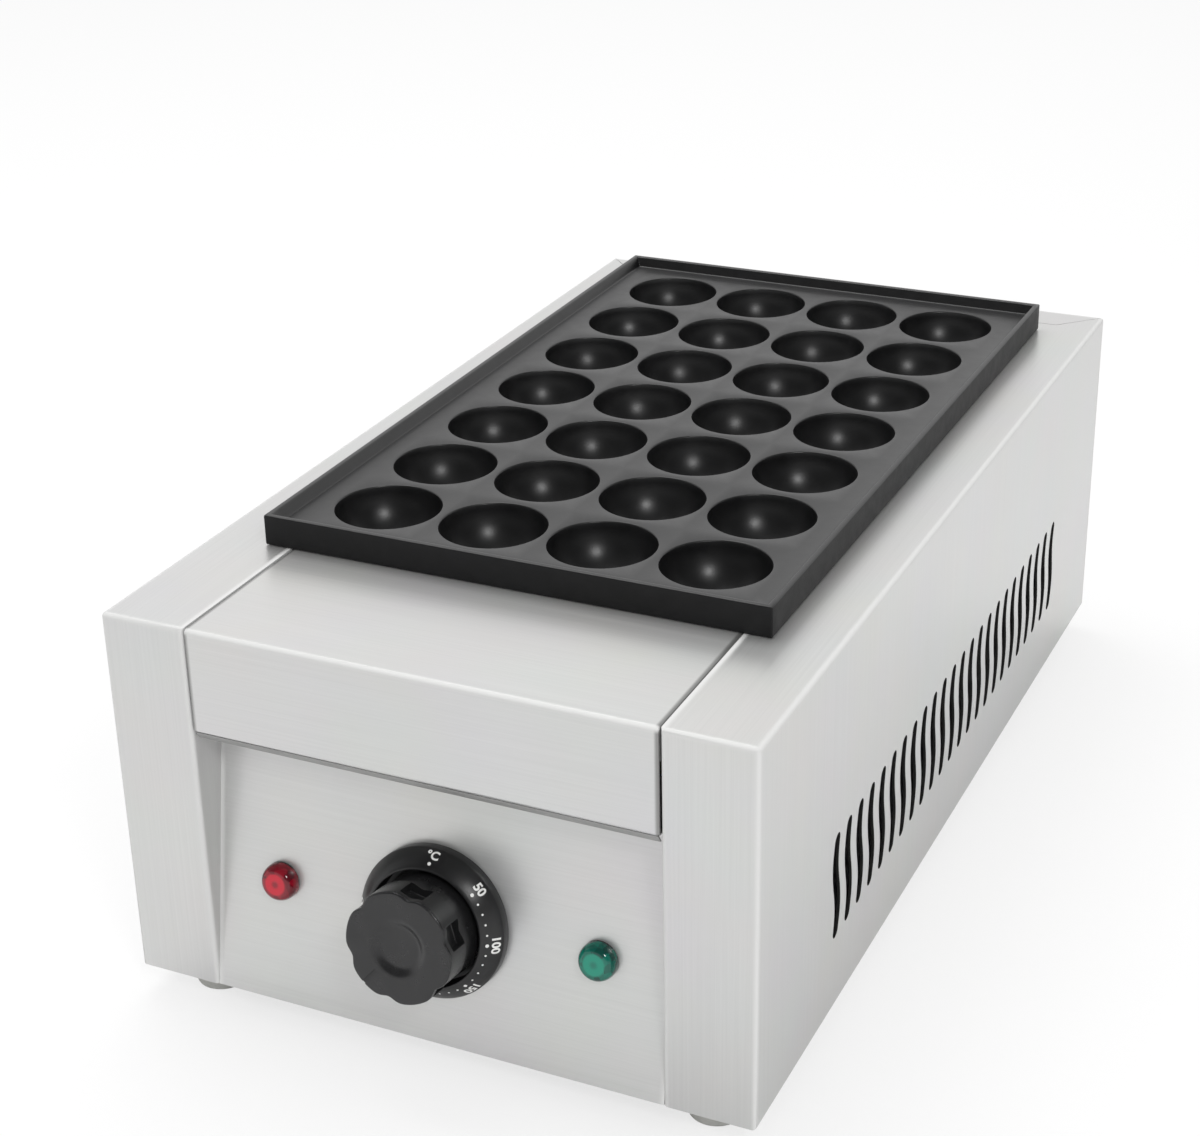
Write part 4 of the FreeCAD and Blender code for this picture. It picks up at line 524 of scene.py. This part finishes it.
def merged_copy(node):
    """A node's own shape as one connected mesh."""
    source = frame["nodes"][node]
    twin = source.copy()
    twin.data = source.data.copy()
    twin.name = node + "_finished"
    bpy.context.scene.collection.objects.link(twin)
    twin.parent = None
    for key in [key for key in twin.keys() if key.startswith("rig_")]:
        del twin[key]
    tidy_mesh(twin)
    return twin


def rounded_copy(node, width):
    """A node's own shape with its facets smoothed and its sharp edges broken."""
    twin = merged_copy(node)
    merge_flats(twin)
    soften(twin, width, angle=FACET_ANGLE)
    smooth(twin, FACET_ANGLE)
    keep_flats(twin)
    body = frame["nodes"][node]["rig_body"]
    return dress(twin, body, slot_of[node], slot_of[node], node)


# Side covers

SHEET = 1.0 * MM
VENT_COUNT = 24
VENT_FIRST = -131.7 * MM
VENT_PITCH = 11.66 * MM
VENT_CENTRE = 59.8 * MM
VENT_HALF = 20.2 * MM
VENT_TIP = 2.3 * MM
VENT_WIDE = 3.1 * MM
VENT_NARROWING = 0.035
VENT_SWAY = 1.35 * MM
VENT_WAVE = 36 * MM
VENT_BAND = 3 * MM
VENT_MARGIN = 12 * MM
VENT_SIDES = 72
CUT_REACH = 2 * MM
EDGE_SLACK = 1 * MM


def vent_tool(side):
    """The row of S-shaped slots, as solid bars through one side wall."""
    bpy.ops.object.select_all(action="DESELECT")
    bpy.ops.mesh.primitive_circle_add(vertices=VENT_SIDES, radius=1, fill_type="NGON")
    bar = bpy.context.object
    for point in bar.data.vertices:
        up = VENT_HALF * point.co.y
        into_tip = max(0.0, (abs(up) - (VENT_HALF - VENT_TIP)) / VENT_TIP)
        half = (VENT_WIDE - VENT_NARROWING*abs(up)) * math.sqrt(max(0.0, 1 - into_tip**2))
        along = math.copysign(half, point.co.x) - VENT_SWAY*math.sin(math.tau*up/VENT_WAVE)
        point.co = (side*(SIDE - CUT_REACH), VENT_FIRST + along, VENT_CENTRE + up)
    edit(bar)
    bpy.ops.mesh.extrude_region_move(TRANSFORM_OT_translate={"value": (side*2*CUT_REACH, 0, 0)})
    leave_edit()
    tidy_mesh(bar)
    use_modifier(bar, "ARRAY", count=VENT_COUNT, use_relative_offset=False, use_constant_offset=True,
                 constant_offset_displace=(0.0, VENT_PITCH, 0.0))
    return bar


def side_cover(node, side):
    """The cover's own sheet, closed over its vents and cut again with full, round-ended slots."""
    cover = merged_copy(node)
    row_start = VENT_FIRST - VENT_MARGIN
    row_end = VENT_FIRST + (VENT_COUNT - 1)*VENT_PITCH + VENT_MARGIN
    wall = sorted((side*SIDE, side*(SIDE - SHEET)))
    blank = box_piece("blank", (wall[0], row_start, VENT_CENTRE - VENT_HALF - VENT_BAND),
                      (wall[1], row_end, VENT_CENTRE + VENT_HALF + VENT_BAND))
    use_modifier(cover, "BOOLEAN", operation="UNION", solver="EXACT", object=blank)
    bpy.data.objects.remove(blank)
    carve(cover, vent_tool(side))
    tidy_mesh(cover)
    merge_flats(cover)
    smooth(cover, FACET_ANGLE)
    keep_flats(cover)
    dress(cover, frame["nodes"][node]["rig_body"], slot_of[node], "side", node)
    # The slot walls take the near-black edge: painted shade inside the vents.
    cover.data.materials.append(FINISHES["shaded_cut_edge"])
    for face in cover.data.polygons:
        in_row = row_start < face.center.y < row_end
        in_band = abs(face.center.z - VENT_CENTRE) < VENT_HALF + EDGE_SLACK
        in_wall = SIDE - SHEET < side*face.center.x < SIDE
        crosses_wall = abs(face.normal.x) < 0.5
        face.material_index = int(in_row and in_band and in_wall and crosses_wall)


# Pan

CUP_PITCH_X = 41.4 * MM
CUP_PITCH_Y = 42.2 * MM
CUP_COLUMNS = 4
CUP_ROWS = 7
CUP_RADIUS = 19 * MM
CUP_WALL = 2.2 * MM
CUP_NECK = 20.2 * MM
CUP_SIDES = 48
CUP_LAND = 1 * MM
NECK_LAND = 0.2 * MM
RIM_RISE = 4 * MM
RIM_TOP = 2.2 * MM
RIM_FOOT = 3.6 * MM
PAN_SKIRT = 3.2 * MM
PAN_PLATE = 3 * MM
PAN_ROUND = 0.6 * MM
WALL_SLACK = 0.4 * MM
UPRIGHT = 0.4
TRAY_FLANGE = 1.8 * MM
LUG_HALF = 4 * MM
LUG_DROP = 6 * MM
LUG_THICK = 2 * MM
LUG_PLAY = 0.5 * MM
LUG_ROUND = 0.4 * MM
PAN_MIDDLE = (PAN_LOW + PAN_HIGH) / 2
PAN_SEAT = TOP + 0.3 * MM
PAN_FLOOR = PAN_HIGH.z - RIM_RISE


def cup_sheet(name, bowl, level):
    """All cups side by side in one level sheet. The bowl's outline ends with a ring outside its mouth."""
    tile = turned(name, bowl, CUP_SIDES)
    border = bowl[-1][0]
    for point in tile.data.vertices:
        if abs(point.co.xy.length - border) < SAME_PLACE:
            widest = max(abs(point.co.x), abs(point.co.y))
            point.co.x *= CUP_PITCH_X / 2 / widest
            point.co.y *= CUP_PITCH_Y / 2 / widest
    for count, step, axis in ((CUP_COLUMNS, CUP_PITCH_X, 0), (CUP_ROWS, CUP_PITCH_Y, 1)):
        offset = [0.0, 0.0, 0.0]
        offset[axis] = step
        use_modifier(tile, "ARRAY", count=count, use_relative_offset=False, use_constant_offset=True,
                     constant_offset_displace=offset, use_merge_vertices=True, merge_threshold=TOUCHING)
    tidy_mesh(tile, 2*TOUCHING)
    first_x = -(CUP_COLUMNS - 1)/2*CUP_PITCH_X
    first_y = PAN_MIDDLE.y - (CUP_ROWS - 1)/2*CUP_PITCH_Y
    tile.data.transform(Matrix.Translation((first_x, first_y, level)))
    return tile


def lug(x, front):
    """A tongue under the plate that keeps it in the heating tray."""
    piece = box_piece("lug", (x - LUG_HALF, front, TOP - LUG_DROP),
                      (x + LUG_HALF, front + LUG_THICK, PAN_FLOOR - PAN_PLATE/2))
    soften(piece, LUG_ROUND)
    return piece


def cast_pan():
    """Cups and floor in one skin, then the rim, outer wall and underside drawn out of its border."""
    inside = arc((0, 0), CUP_RADIUS, -90, 0, 14) + [(CUP_RADIUS + CUP_LAND, 0)]
    top = cup_sheet("pan_top", inside, PAN_FLOOR)
    half = Vector((CUP_COLUMNS*CUP_PITCH_X, CUP_ROWS*CUP_PITCH_Y)) / 2
    whole = Vector((PAN_HIGH.x - PAN_LOW.x, PAN_HIGH.y - PAN_LOW.y)) / 2
    edit(top)
    bpy.ops.mesh.select_mode(type="EDGE")
    bpy.ops.mesh.select_all(action="DESELECT")
    bpy.ops.mesh.select_non_manifold(extend=False)
    loops = [(RIM_FOOT, 0), (RIM_TOP, RIM_RISE), (0, RIM_RISE), (0, PAN_SEAT - PAN_FLOOR),
             (PAN_SKIRT, PAN_SEAT - PAN_FLOOR), (PAN_SKIRT, -PAN_PLATE)]
    rows = [(whole.x - inset, whole.y - inset, height) for inset, height in loops]
    rows.append((half.x, half.y, -PAN_PLATE))
    at = (half.x, half.y, 0)
    for row in rows:
        bpy.ops.mesh.extrude_edges_move()
        bpy.ops.transform.resize(value=(row[0]/at[0], row[1]/at[1], 1), center_override=(0, PAN_MIDDLE.y, 0))
        bpy.ops.transform.translate(value=(0, 0, row[2] - at[2]))
        at = row
    leave_edit()
    dome = CUP_RADIUS + CUP_WALL
    start = -math.degrees(math.acos(CUP_NECK / dome))
    below = arc((0, 0), dome, -90, start, 9) + [(CUP_NECK, -PAN_PLATE), (CUP_NECK + NECK_LAND, -PAN_PLATE)]
    under = cup_sheet("pan_under", [(r, z + PAN_PLATE) for r, z in below], PAN_FLOOR - PAN_PLATE)
    pan = join_pieces("cast_pan", [top, under])
    tidy_mesh(pan, 5*TOUCHING)
    soften(pan, PAN_ROUND, segments=3, angle=40)
    tray_low, tray_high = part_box("heating_tray")
    front = tray_low.y + TRAY_FLANGE + LUG_PLAY
    rear = tray_high.y - TRAY_FLANGE - LUG_PLAY - LUG_THICK
    lugs = [lug(i*CUP_PITCH_X, y) for i in (-1, 0, 1) for y in (front, rear)]
    pan = join_pieces("cast_pan", [pan, *lugs])
    smooth(pan, 40)
    dress(pan, "pan", "black_nonstick", "black_nonstick", "pan")
    pan.data.materials.append(FINISHES["coated_side"])
    for face in pan.data.polygons:
        off_x = abs(face.center.x - PAN_MIDDLE.x) - whole.x
        off_y = abs(face.center.y - PAN_MIDDLE.y) - whole.y
        face.material_index = int(max(off_x, off_y) > -WALL_SLACK and abs(face.normal.z) < UPRIGHT)


# Dial and knob

DIAL_RADIUS = 26.5 * MM
DIAL_EDGE = 3.6 * MM
DIAL_CREST = 21.2 * MM
DIAL_HEIGHT = 9.5 * MM
DIAL_BULGE = 0.4 * MM
DIAL_WELL = 20.4 * MM
DIAL_FLOOR = 2 * MM
DIAL_HOLE = 6 * MM
DIAL_ROUND = 0.25 * MM


def circle_through(a, b, c):
    """Centre and radius of the circle through three points."""
    area = 2*((b.x - a.x)*(c.y - a.y) - (b.y - a.y)*(c.x - a.x))
    bb, cc = (b - a).length_squared, (c - a).length_squared
    off = Vector(((c.y - a.y)*bb - (b.y - a.y)*cc, (b.x - a.x)*cc - (c.x - a.x)*bb)) / area
    return a + off, off.length


SLOPE_CREST = Vector((DIAL_CREST, DIAL_HEIGHT))
SLOPE_FOOT = Vector((DIAL_RADIUS, DIAL_EDGE))
SLOPE_RUN = SLOPE_FOOT - SLOPE_CREST
SHOULDER = (SLOPE_CREST + SLOPE_FOOT)/2 + Vector((-SLOPE_RUN.y, SLOPE_RUN.x)).normalized()*DIAL_BULGE
SLOPE_CENTRE, SLOPE_RADIUS = circle_through(SLOPE_FOOT, SHOULDER, SLOPE_CREST)
CREST_ANGLE = math.atan2(*(SLOPE_CREST - SLOPE_CENTRE).yx)
FOOT_ANGLE = math.atan2(*(SLOPE_FOOT - SLOPE_CENTRE).yx)
PRINT_LIFT = 0.1 * MM


def on_slope(down, lift=0.0):
    """Radius and height on the dial's slope, a length down from its crest."""
    angle = CREST_ANGLE - down/SLOPE_RADIUS
    reach = SLOPE_RADIUS + lift
    return SLOPE_CENTRE.x + reach*math.cos(angle), SLOPE_CENTRE.y + reach*math.sin(angle)


def dial():
    slope = arc(SLOPE_CENTRE, SLOPE_RADIUS, math.degrees(FOOT_ANGLE), math.degrees(CREST_ANGLE), 10)
    outline = [(DIAL_HOLE, DIAL_FLOOR), (DIAL_HOLE, 0), (DIAL_RADIUS, 0), *slope,
               (DIAL_WELL, DIAL_HEIGHT), (DIAL_WELL, DIAL_FLOOR), (DIAL_HOLE, DIAL_FLOOR)]
    ring = turned("dial_scale", outline, 128)
    soften(ring, DIAL_ROUND, angle=FACET_ANGLE)
    smooth(ring, FACET_ANGLE)
    ring.data.transform(ON_PANEL)
    dress(ring, "housing", "dial_black", "dial_black", "dial_ring")


def wrap_on_dial(piece, turn, down):
    """Lays a flat piece on the slope: its +Y points down the slope, turn degrees clockwise from the top."""
    for point in piece.data.vertices:
        radius, height = on_slope(down + point.co.y, PRINT_LIFT)
        angle = math.radians(turn) + point.co.x/radius
        point.co = (radius*math.sin(angle), radius*math.cos(angle), height)


SCALE_TURN = 2
SCALE_STEPS = 6
DEGREES_PER_STEP = 45
HEAT_PER_STEP = 50
DOTS_PER_STEP = 5
NUMERAL_SIZE = 4.2 * MM
NUMERAL_DOWN = 5.1 * MM
DOT_DOWN = 2.1 * MM
DOT_RADIUS = 0.62 * MM
SMALL_DOT = 0.36 * MM
INK_SPREAD = 0.035


def printed_text(word, turn):
    bpy.ops.object.select_all(action="DESELECT")
    bpy.ops.object.text_add()
    text = bpy.context.object
    text.data.body = word
    text.data.size = NUMERAL_SIZE
    text.data.align_x = "CENTER"
    text.data.align_y = "CENTER"
    text.data.offset = INK_SPREAD * NUMERAL_SIZE
    bpy.ops.object.convert(target="MESH")
    piece = bpy.context.object
    edit(piece)
    bpy.ops.mesh.subdivide(number_cuts=2)
    leave_edit()
    wrap_on_dial(piece, turn, NUMERAL_DOWN)
    return piece


def printed_dot(radius, turn):
    bpy.ops.object.select_all(action="DESELECT")
    bpy.ops.mesh.primitive_circle_add(vertices=16, radius=radius, fill_type="TRIFAN")
    piece = bpy.context.object
    wrap_on_dial(piece, turn, DOT_DOWN)
    return piece


def dial_print():
    marks = [printed_text("°C", SCALE_TURN), printed_dot(DOT_RADIUS, SCALE_TURN)]
    for step in range(1, SCALE_STEPS + 1):
        turn = step*DEGREES_PER_STEP + SCALE_TURN
        marks.append(printed_text(str(HEAT_PER_STEP*step), turn))
        marks.append(printed_dot(DOT_RADIUS, turn))
        if step < SCALE_STEPS:
            marks += [printed_dot(SMALL_DOT, turn + DEGREES_PER_STEP*i/DOTS_PER_STEP)
                      for i in range(1, DOTS_PER_STEP)]
    printed = join_pieces("dial_print", marks)
    printed.data.transform(ON_PANEL)
    dress(printed, "housing", "dial_black", "white_print")


KNOB_FACE = 19.3 * MM
KNOB_SKIRT = 18.7 * MM
KNOB_TOP = 26.4 * MM
KNOB_NECK = 15.8 * MM
KNOB_LIFT = 3 * MM
KNOB_LOBES = 6
KNOB_ROUND = 0.4 * MM
GRIP_ROW = 4 * MM
KNOB_HOLLOW = 17.0 * MM
HOLLOW_TOP = 12 * MM
KNOB_BOSS = 6.5 * MM
BOSS_FOOT = 3.5 * MM
SHAFT_BORE = 3.05 * MM
SHAFT_TOP = 20.5 * MM
VALLEY_DEPTH = 1.5 * MM
VALLEY_WIDTH = 0.15
VALLEY_INSET = 1 * MM
POINTER_TURN = 219.3
POINTER_LENGTH = 7.2 * MM
POINTER_WIDTH = 1.2 * MM
POINTER_DEPTH = 0.9 * MM
CUT_CLEAR = 1 * MM
DISH_RADIUS = 10.7 * MM
DISH_DEPTH = 1.6 * MM
DISH_WALL = 4.5 * MM
DISH_STEPS = 8
DISH_LIP = (0.25 * MM, 0.6 * MM)
FACE_THICK = 2.3 * MM
FACE_ROUND = 0.8 * MM
FACE_ROWS = (13 * MM, 15 * MM, 17 * MM)
POCKET_WIDTH = 8.4 * MM
POCKET_DEPTH = 4.2 * MM
POCKET_ROUND = 0.4 * MM


def knob_outline():
    dish = [(0, KNOB_TOP - DISH_DEPTH), (DISH_RADIUS - DISH_WALL, KNOB_TOP - DISH_DEPTH)]
    for i in range(1, DISH_STEPS + 1):
        part = i / DISH_STEPS
        drop = DISH_DEPTH*(1 + math.cos(math.pi*part))/2
        dish.append((DISH_RADIUS - DISH_WALL*(1 - part), KNOB_TOP - drop))
    lip = [(DISH_RADIUS + out, KNOB_TOP) for out in DISH_LIP]
    face = [(radius, KNOB_TOP) for radius in FACE_ROWS]
    rim = arc((KNOB_FACE - FACE_ROUND, KNOB_TOP - FACE_ROUND), FACE_ROUND, 90, 0, 5)
    grip = [(KNOB_FACE, KNOB_TOP - FACE_THICK), (KNOB_FACE, KNOB_NECK + GRIP_ROW),
            (KNOB_FACE, KNOB_NECK + KNOB_ROUND), (KNOB_FACE - KNOB_ROUND, KNOB_NECK), (KNOB_SKIRT, KNOB_NECK),
            (KNOB_SKIRT, KNOB_LIFT + KNOB_ROUND), (KNOB_SKIRT - KNOB_ROUND, KNOB_LIFT)]
    under = [(KNOB_HOLLOW, KNOB_LIFT), (KNOB_HOLLOW, HOLLOW_TOP), (KNOB_BOSS, HOLLOW_TOP),
             (KNOB_BOSS, BOSS_FOOT), (SHAFT_BORE, BOSS_FOOT), (SHAFT_BORE, SHAFT_TOP), (0, SHAFT_TOP)]
    return dish + lip + face + rim + grip + under


def make_lobes(piece):
    """Draws the grip in between its lobes, in smooth valleys that fade out into the dish and the skirt."""
    for point in piece.data.vertices:
        radius = point.co.xy.length
        if radius < DISH_RADIUS + VALLEY_INSET or point.co.z < KNOB_NECK - SAME_PLACE:
            continue
        turn = math.degrees(math.atan2(point.co.x, point.co.y)) - POINTER_TURN
        phase = (turn / (360/KNOB_LOBES) + 0.5) % 1 - 0.5
        valley = math.exp(-((abs(phase) - 0.5) / VALLEY_WIDTH)**2)
        reach = (radius - DISH_RADIUS) / (KNOB_FACE - DISH_RADIUS)
        scale = 1 - VALLEY_DEPTH*valley*min(1, max(0, reach))/radius
        point.co.x *= scale
        point.co.y *= scale


def pocket(turn):
    """The room of a finger pocket between two lobes, under the face."""
    tool = box_piece("pocket", (-POCKET_WIDTH/2, KNOB_FACE - POCKET_DEPTH, KNOB_NECK),
                     (POCKET_WIDTH/2, KNOB_FACE + POCKET_DEPTH, KNOB_TOP - FACE_THICK))
    soften(tool, POCKET_ROUND, segments=3)
    tool.data.transform(Matrix.Rotation(-math.radians(turn), 4, "Z"))
    return tool


def knob():
    piece = turned("knob_grip", knob_outline(), 160)
    make_lobes(piece)
    step = 360 / KNOB_LOBES
    carve(piece, *[pocket(POINTER_TURN + (i + 0.5)*step) for i in range(KNOB_LOBES)])
    groove = box_piece("groove", (-POINTER_WIDTH/2, KNOB_FACE - POINTER_LENGTH, KNOB_TOP - POINTER_DEPTH),
                       (POINTER_WIDTH/2, KNOB_FACE + CUT_CLEAR, KNOB_TOP + CUT_CLEAR))
    groove.data.transform(Matrix.Rotation(-math.radians(POINTER_TURN), 4, "Z"))
    carve(piece, groove)
    tidy_mesh(piece)
    smooth(piece, 32)
    piece.data.transform(ON_PANEL)
    dress(piece, "knob", "black_bakelite", "black_bakelite", "knob")


# Lamps

LENS_RADIUS = 6.6 * MM
LENS_FOOT = 1.2 * MM
LENS_SIDE = 0.3 * MM
LENS_FACE = 3.8 * MM
LENS_TOP = 5.2 * MM
RIM_RADIUS = 6.52 * MM
RIM_COVERED = 0.35 * MM
RIM_ROUND = 0.3 * MM
FACE_EDGE = 0.1 * MM
# Powers of the flank's cosine and sine, which make it fuller and its top flatter than a quarter circle
FLANK_OUT = 0.8
FLANK_UP = 1.1


def lamp(tint):
    """Lens with a straight foot, a bulging flank and a flat face, over the holder's rim."""
    centre = lens_centre(tint)
    up = (centre - DIAL_CENTRE).dot(UP)
    to_lamp = ON_PANEL @ Matrix.Translation((centre.x, up, 0))
    foot = LENS_FOOT + LENS_SIDE
    flank = [(LENS_FACE + (LENS_RADIUS - LENS_FACE)*math.cos(a)**FLANK_OUT,
              foot + (LENS_TOP - foot)*math.sin(a)**FLANK_UP)
             for a in (math.radians(10*i) for i in range(1, 9))]
    outline = [(0, LENS_FOOT), (RIM_RADIUS, LENS_FOOT), (RIM_RADIUS, RIM_COVERED), (LENS_RADIUS, RIM_COVERED),
               (LENS_RADIUS, foot), *flank, (LENS_FACE - FACE_EDGE, LENS_TOP), (LENS_FACE*0.6, LENS_TOP),
               (0, LENS_TOP)]
    lens = turned(tint + "_lens_cap", outline, 64)
    smooth(lens, 50)
    lens.data.transform(to_lamp)
    dress(lens, "housing", tint + "_lens", tint + "_lens", tint + "_lamp_lens")
    rounded_copy(tint + "_lamp_housing", RIM_ROUND)


# Apron's hem and fasteners

HEM_DROP = 3.0 * MM
HEM_BACK = 2.0 * MM
HEM_THICK = 0.8 * MM
HEM_PLAY = 0.5 * MM
HEM_INSET = 0.4 * MM
HEM_LAP = 0.2 * MM
HEM_ROUND = 0.2 * MM


def apron_hem():
    """The apron's lower edge, turned inwards along its whole width."""
    half = MIDDLE_EDGE - HEM_PLAY
    hem = box_piece("apron_hem", (-half, 0, -HEM_DROP), (half, HEM_THICK, 0))
    for point in hem.data.vertices:
        point.co.y -= point.co.z*HEM_BACK/HEM_DROP
    hem.data.transform(Matrix.Translation((0, FRONT + HEM_INSET, APRON_FOOT + HEM_LAP)))
    soften(hem, HEM_ROUND)
    smooth(hem)
    # The hem's darker steel is painted shade under the apron.
    dress(hem, "housing", slot_of["top_cover"], "hem")


RECESS_WIDTH = 0.8 * MM
RECESS_LENGTH = 3.4 * MM
RECESS_DEPTH = 1.1 * MM
RECESS_TURNS = (20, 110)
HEAD_ROUND = 0.3 * MM


def cross_screws(node, out):
    """A node's screws with softened heads and a cross recess in each, on the side that faces out."""
    screws = rounded_copy(node, HEAD_ROUND)
    edit(screws)
    bpy.ops.mesh.separate(type="LOOSE")
    leave_edit()
    singles = [screws] + [piece for piece in bpy.context.selected_objects if piece is not screws]
    out = Vector(out)
    to_out = out.to_track_quat("Z", "Y").to_matrix().to_4x4()
    for single in singles:
        points = [point.co for point in single.data.vertices]
        reach = max(point.dot(out) for point in points)
        low = Vector([min(point[i] for point in points) for i in range(3)])
        high = Vector([max(point[i] for point in points) for i in range(3)])
        middle = (low + high) / 2
        top = middle + out*(reach - middle.dot(out))
        for turn in RECESS_TURNS:
            slot = box_piece("slot", (-RECESS_WIDTH/2, -RECESS_LENGTH/2, -RECESS_DEPTH),
                             (RECESS_WIDTH/2, RECESS_LENGTH/2, CUT_CLEAR))
            turned_slot = to_out @ Matrix.Rotation(math.radians(turn), 4, "Z")
            slot.data.transform(Matrix.Translation(top) @ turned_slot)
            carve(single, slot)
    join_pieces(node + "_finished", singles)


FOOT_ROUND = 0.8 * MM
FITTING_ROUND = 0.2 * MM

# Build

side_cover("left_side_cover", -1)
side_cover("right_side_cover", 1)
cast_pan()
dial()
dial_print()
knob()
for tint in ("red", "green"):
    lamp(tint)
for node in ("foot_front_left", "foot_front_right", "foot_rear_left", "foot_rear_right"):
    rounded_copy(node, FOOT_ROUND)
for node in ("gland_body", "gland_cap", "gland_seal", "heating_element_left", "heating_element_right",
             "element_fittings", "sensing_bulb", "thermostat_shaft"):
    rounded_copy(node, FITTING_ROUND)
apron_hem()
cross_screws("rear_screws", (0, 1, 0))
cross_screws("base_screws", (0, 0, -1))

# Stage: floor, light and camera

FLOOR_SIZE = 16
PAPER_GLOW = 0.72


def plain_floor():
    bpy.ops.object.select_all(action="DESELECT")
    bpy.ops.mesh.primitive_plane_add(size=FLOOR_SIZE)
    floor = bpy.context.object
    floor.name = "studio_floor"
    material, shader = new_material("white paper sweep")
    set_sockets(shader, Base_Color=colour("#F4F4F4"), Roughness=0.9, Specular_IOR_Level=0.0)
    rays = add_node(material, "ShaderNodeLightPath")
    share = add_node(material, "ShaderNodeMath", {"operation": "MULTIPLY"},
                     {0: (rays, "Is Camera Ray"), 1: PAPER_GLOW})
    paper = add_node(material, "ShaderNodeEmission", {}, {"Color": colour("#FFFFFF"), "Strength": 1.0})
    both = add_node(material, "ShaderNodeMixShader", {}, {0: (share, 0), 1: (shader, 0), 2: (paper, 0)})
    join(material, (both, 0), material.node_tree.nodes["Material Output"], "Surface")
    floor.data.materials.append(material)


# What gloss sees: dark over the backdrop and on the wall behind the camera, which ends above the floor.
# The first two are heights of a direction, the third its turn towards the camera.
TO_CAMERA = (0.43, -0.90, 0.0)
BACKDROP_ENDS = (0.62, 0.85)
WALL_STARTS = (0.12, 0.35)
WALL_SIDES = (-0.5, 0.1)
DARK_ROOM = 0.14
EVEN_LIGHT = 0.75


def studio_world():
    """Even white light, where gloss also sees a dark room behind the camera and above the backdrop."""
    world = bpy.data.worlds.new("studio")
    bpy.context.scene.world = world
    world.use_nodes = True
    rays = add_node(world, "ShaderNodeLightPath")
    place = add_node(world, "ShaderNodeTexCoord")
    height = add_node(world, "ShaderNodeSeparateXYZ", {}, {0: (place, "Generated")})
    facing = add_node(world, "ShaderNodeVectorMath", {"operation": "DOT_PRODUCT"},
                      {0: (place, "Generated"), 1: TO_CAMERA})
    above = in_range(world, (height, "Z"), BACKDROP_ENDS, kind="SMOOTHSTEP")
    over_floor = in_range(world, (height, "Z"), WALL_STARTS, kind="SMOOTHSTEP")
    front = in_range(world, (facing, "Value"), WALL_SIDES, kind="SMOOTHSTEP")
    front_wall = add_node(world, "ShaderNodeMath", {"operation": "MULTIPLY"}, {0: over_floor, 1: front})
    dark = add_node(world, "ShaderNodeMath", {"operation": "MAXIMUM"}, {0: above, 1: (front_wall, 0)})
    gloss = between(world, (dark, 0), 1.0, DARK_ROOM)
    light = between(world, (rays, "Is Glossy Ray"), EVEN_LIGHT, gloss)
    seen = add_node(world, "ShaderNodeMath", {"operation": "MAXIMUM"},
                    {0: (rays, "Is Camera Ray"), 1: (rays, "Is Transmission Ray")})
    background = world.node_tree.nodes["Background"]
    set_sockets(background, Color=colour("#FFFFFF"))
    join(world, between(world, (seen, 0), light, 1.0), background, "Strength")


def soft_light(name, at, aim, size, watts):
    bpy.ops.object.select_all(action="DESELECT")
    bpy.ops.object.light_add(type="AREA", location=at)
    light = bpy.context.object
    light.name = name
    light.data.shape = "DISK"
    light.data.size = size
    light.data.energy = watts
    light.rotation_euler = (Vector(aim) - Vector(at)).to_track_quat("-Z", "Y").to_euler()


def photo_camera():
    data = bpy.data.cameras.new("photo_camera")
    data.lens = CAMERA_LENS
    data.sensor_fit = "HORIZONTAL"
    data.sensor_width = SENSOR_WIDTH
    camera = bpy.data.objects.new("photo_camera", data)
    bpy.context.scene.collection.objects.link(camera)
    aim = Euler((math.radians(90 - CAMERA_ELEVATION), 0, math.radians(CAMERA_AZIMUTH)))
    roll = Matrix.Rotation(math.radians(CAMERA_ROLL), 4, "Z")
    camera.matrix_world = Matrix.Translation(CAMERA_AT) @ aim.to_matrix().to_4x4() @ roll
    bpy.context.scene.camera = camera


plain_floor()
studio_world()
soft_light("front_softbox", at=(0.95, -1.15, 1.25), aim=(0, 0, 0.1), size=0.35, watts=7)
soft_light("top_softbox", at=(-0.5, 0.3, 1.8), aim=(0, 0, 0.1), size=1.2, watts=14)
photo_camera()
bpy.context.scene.view_settings.view_transform = "Standard"
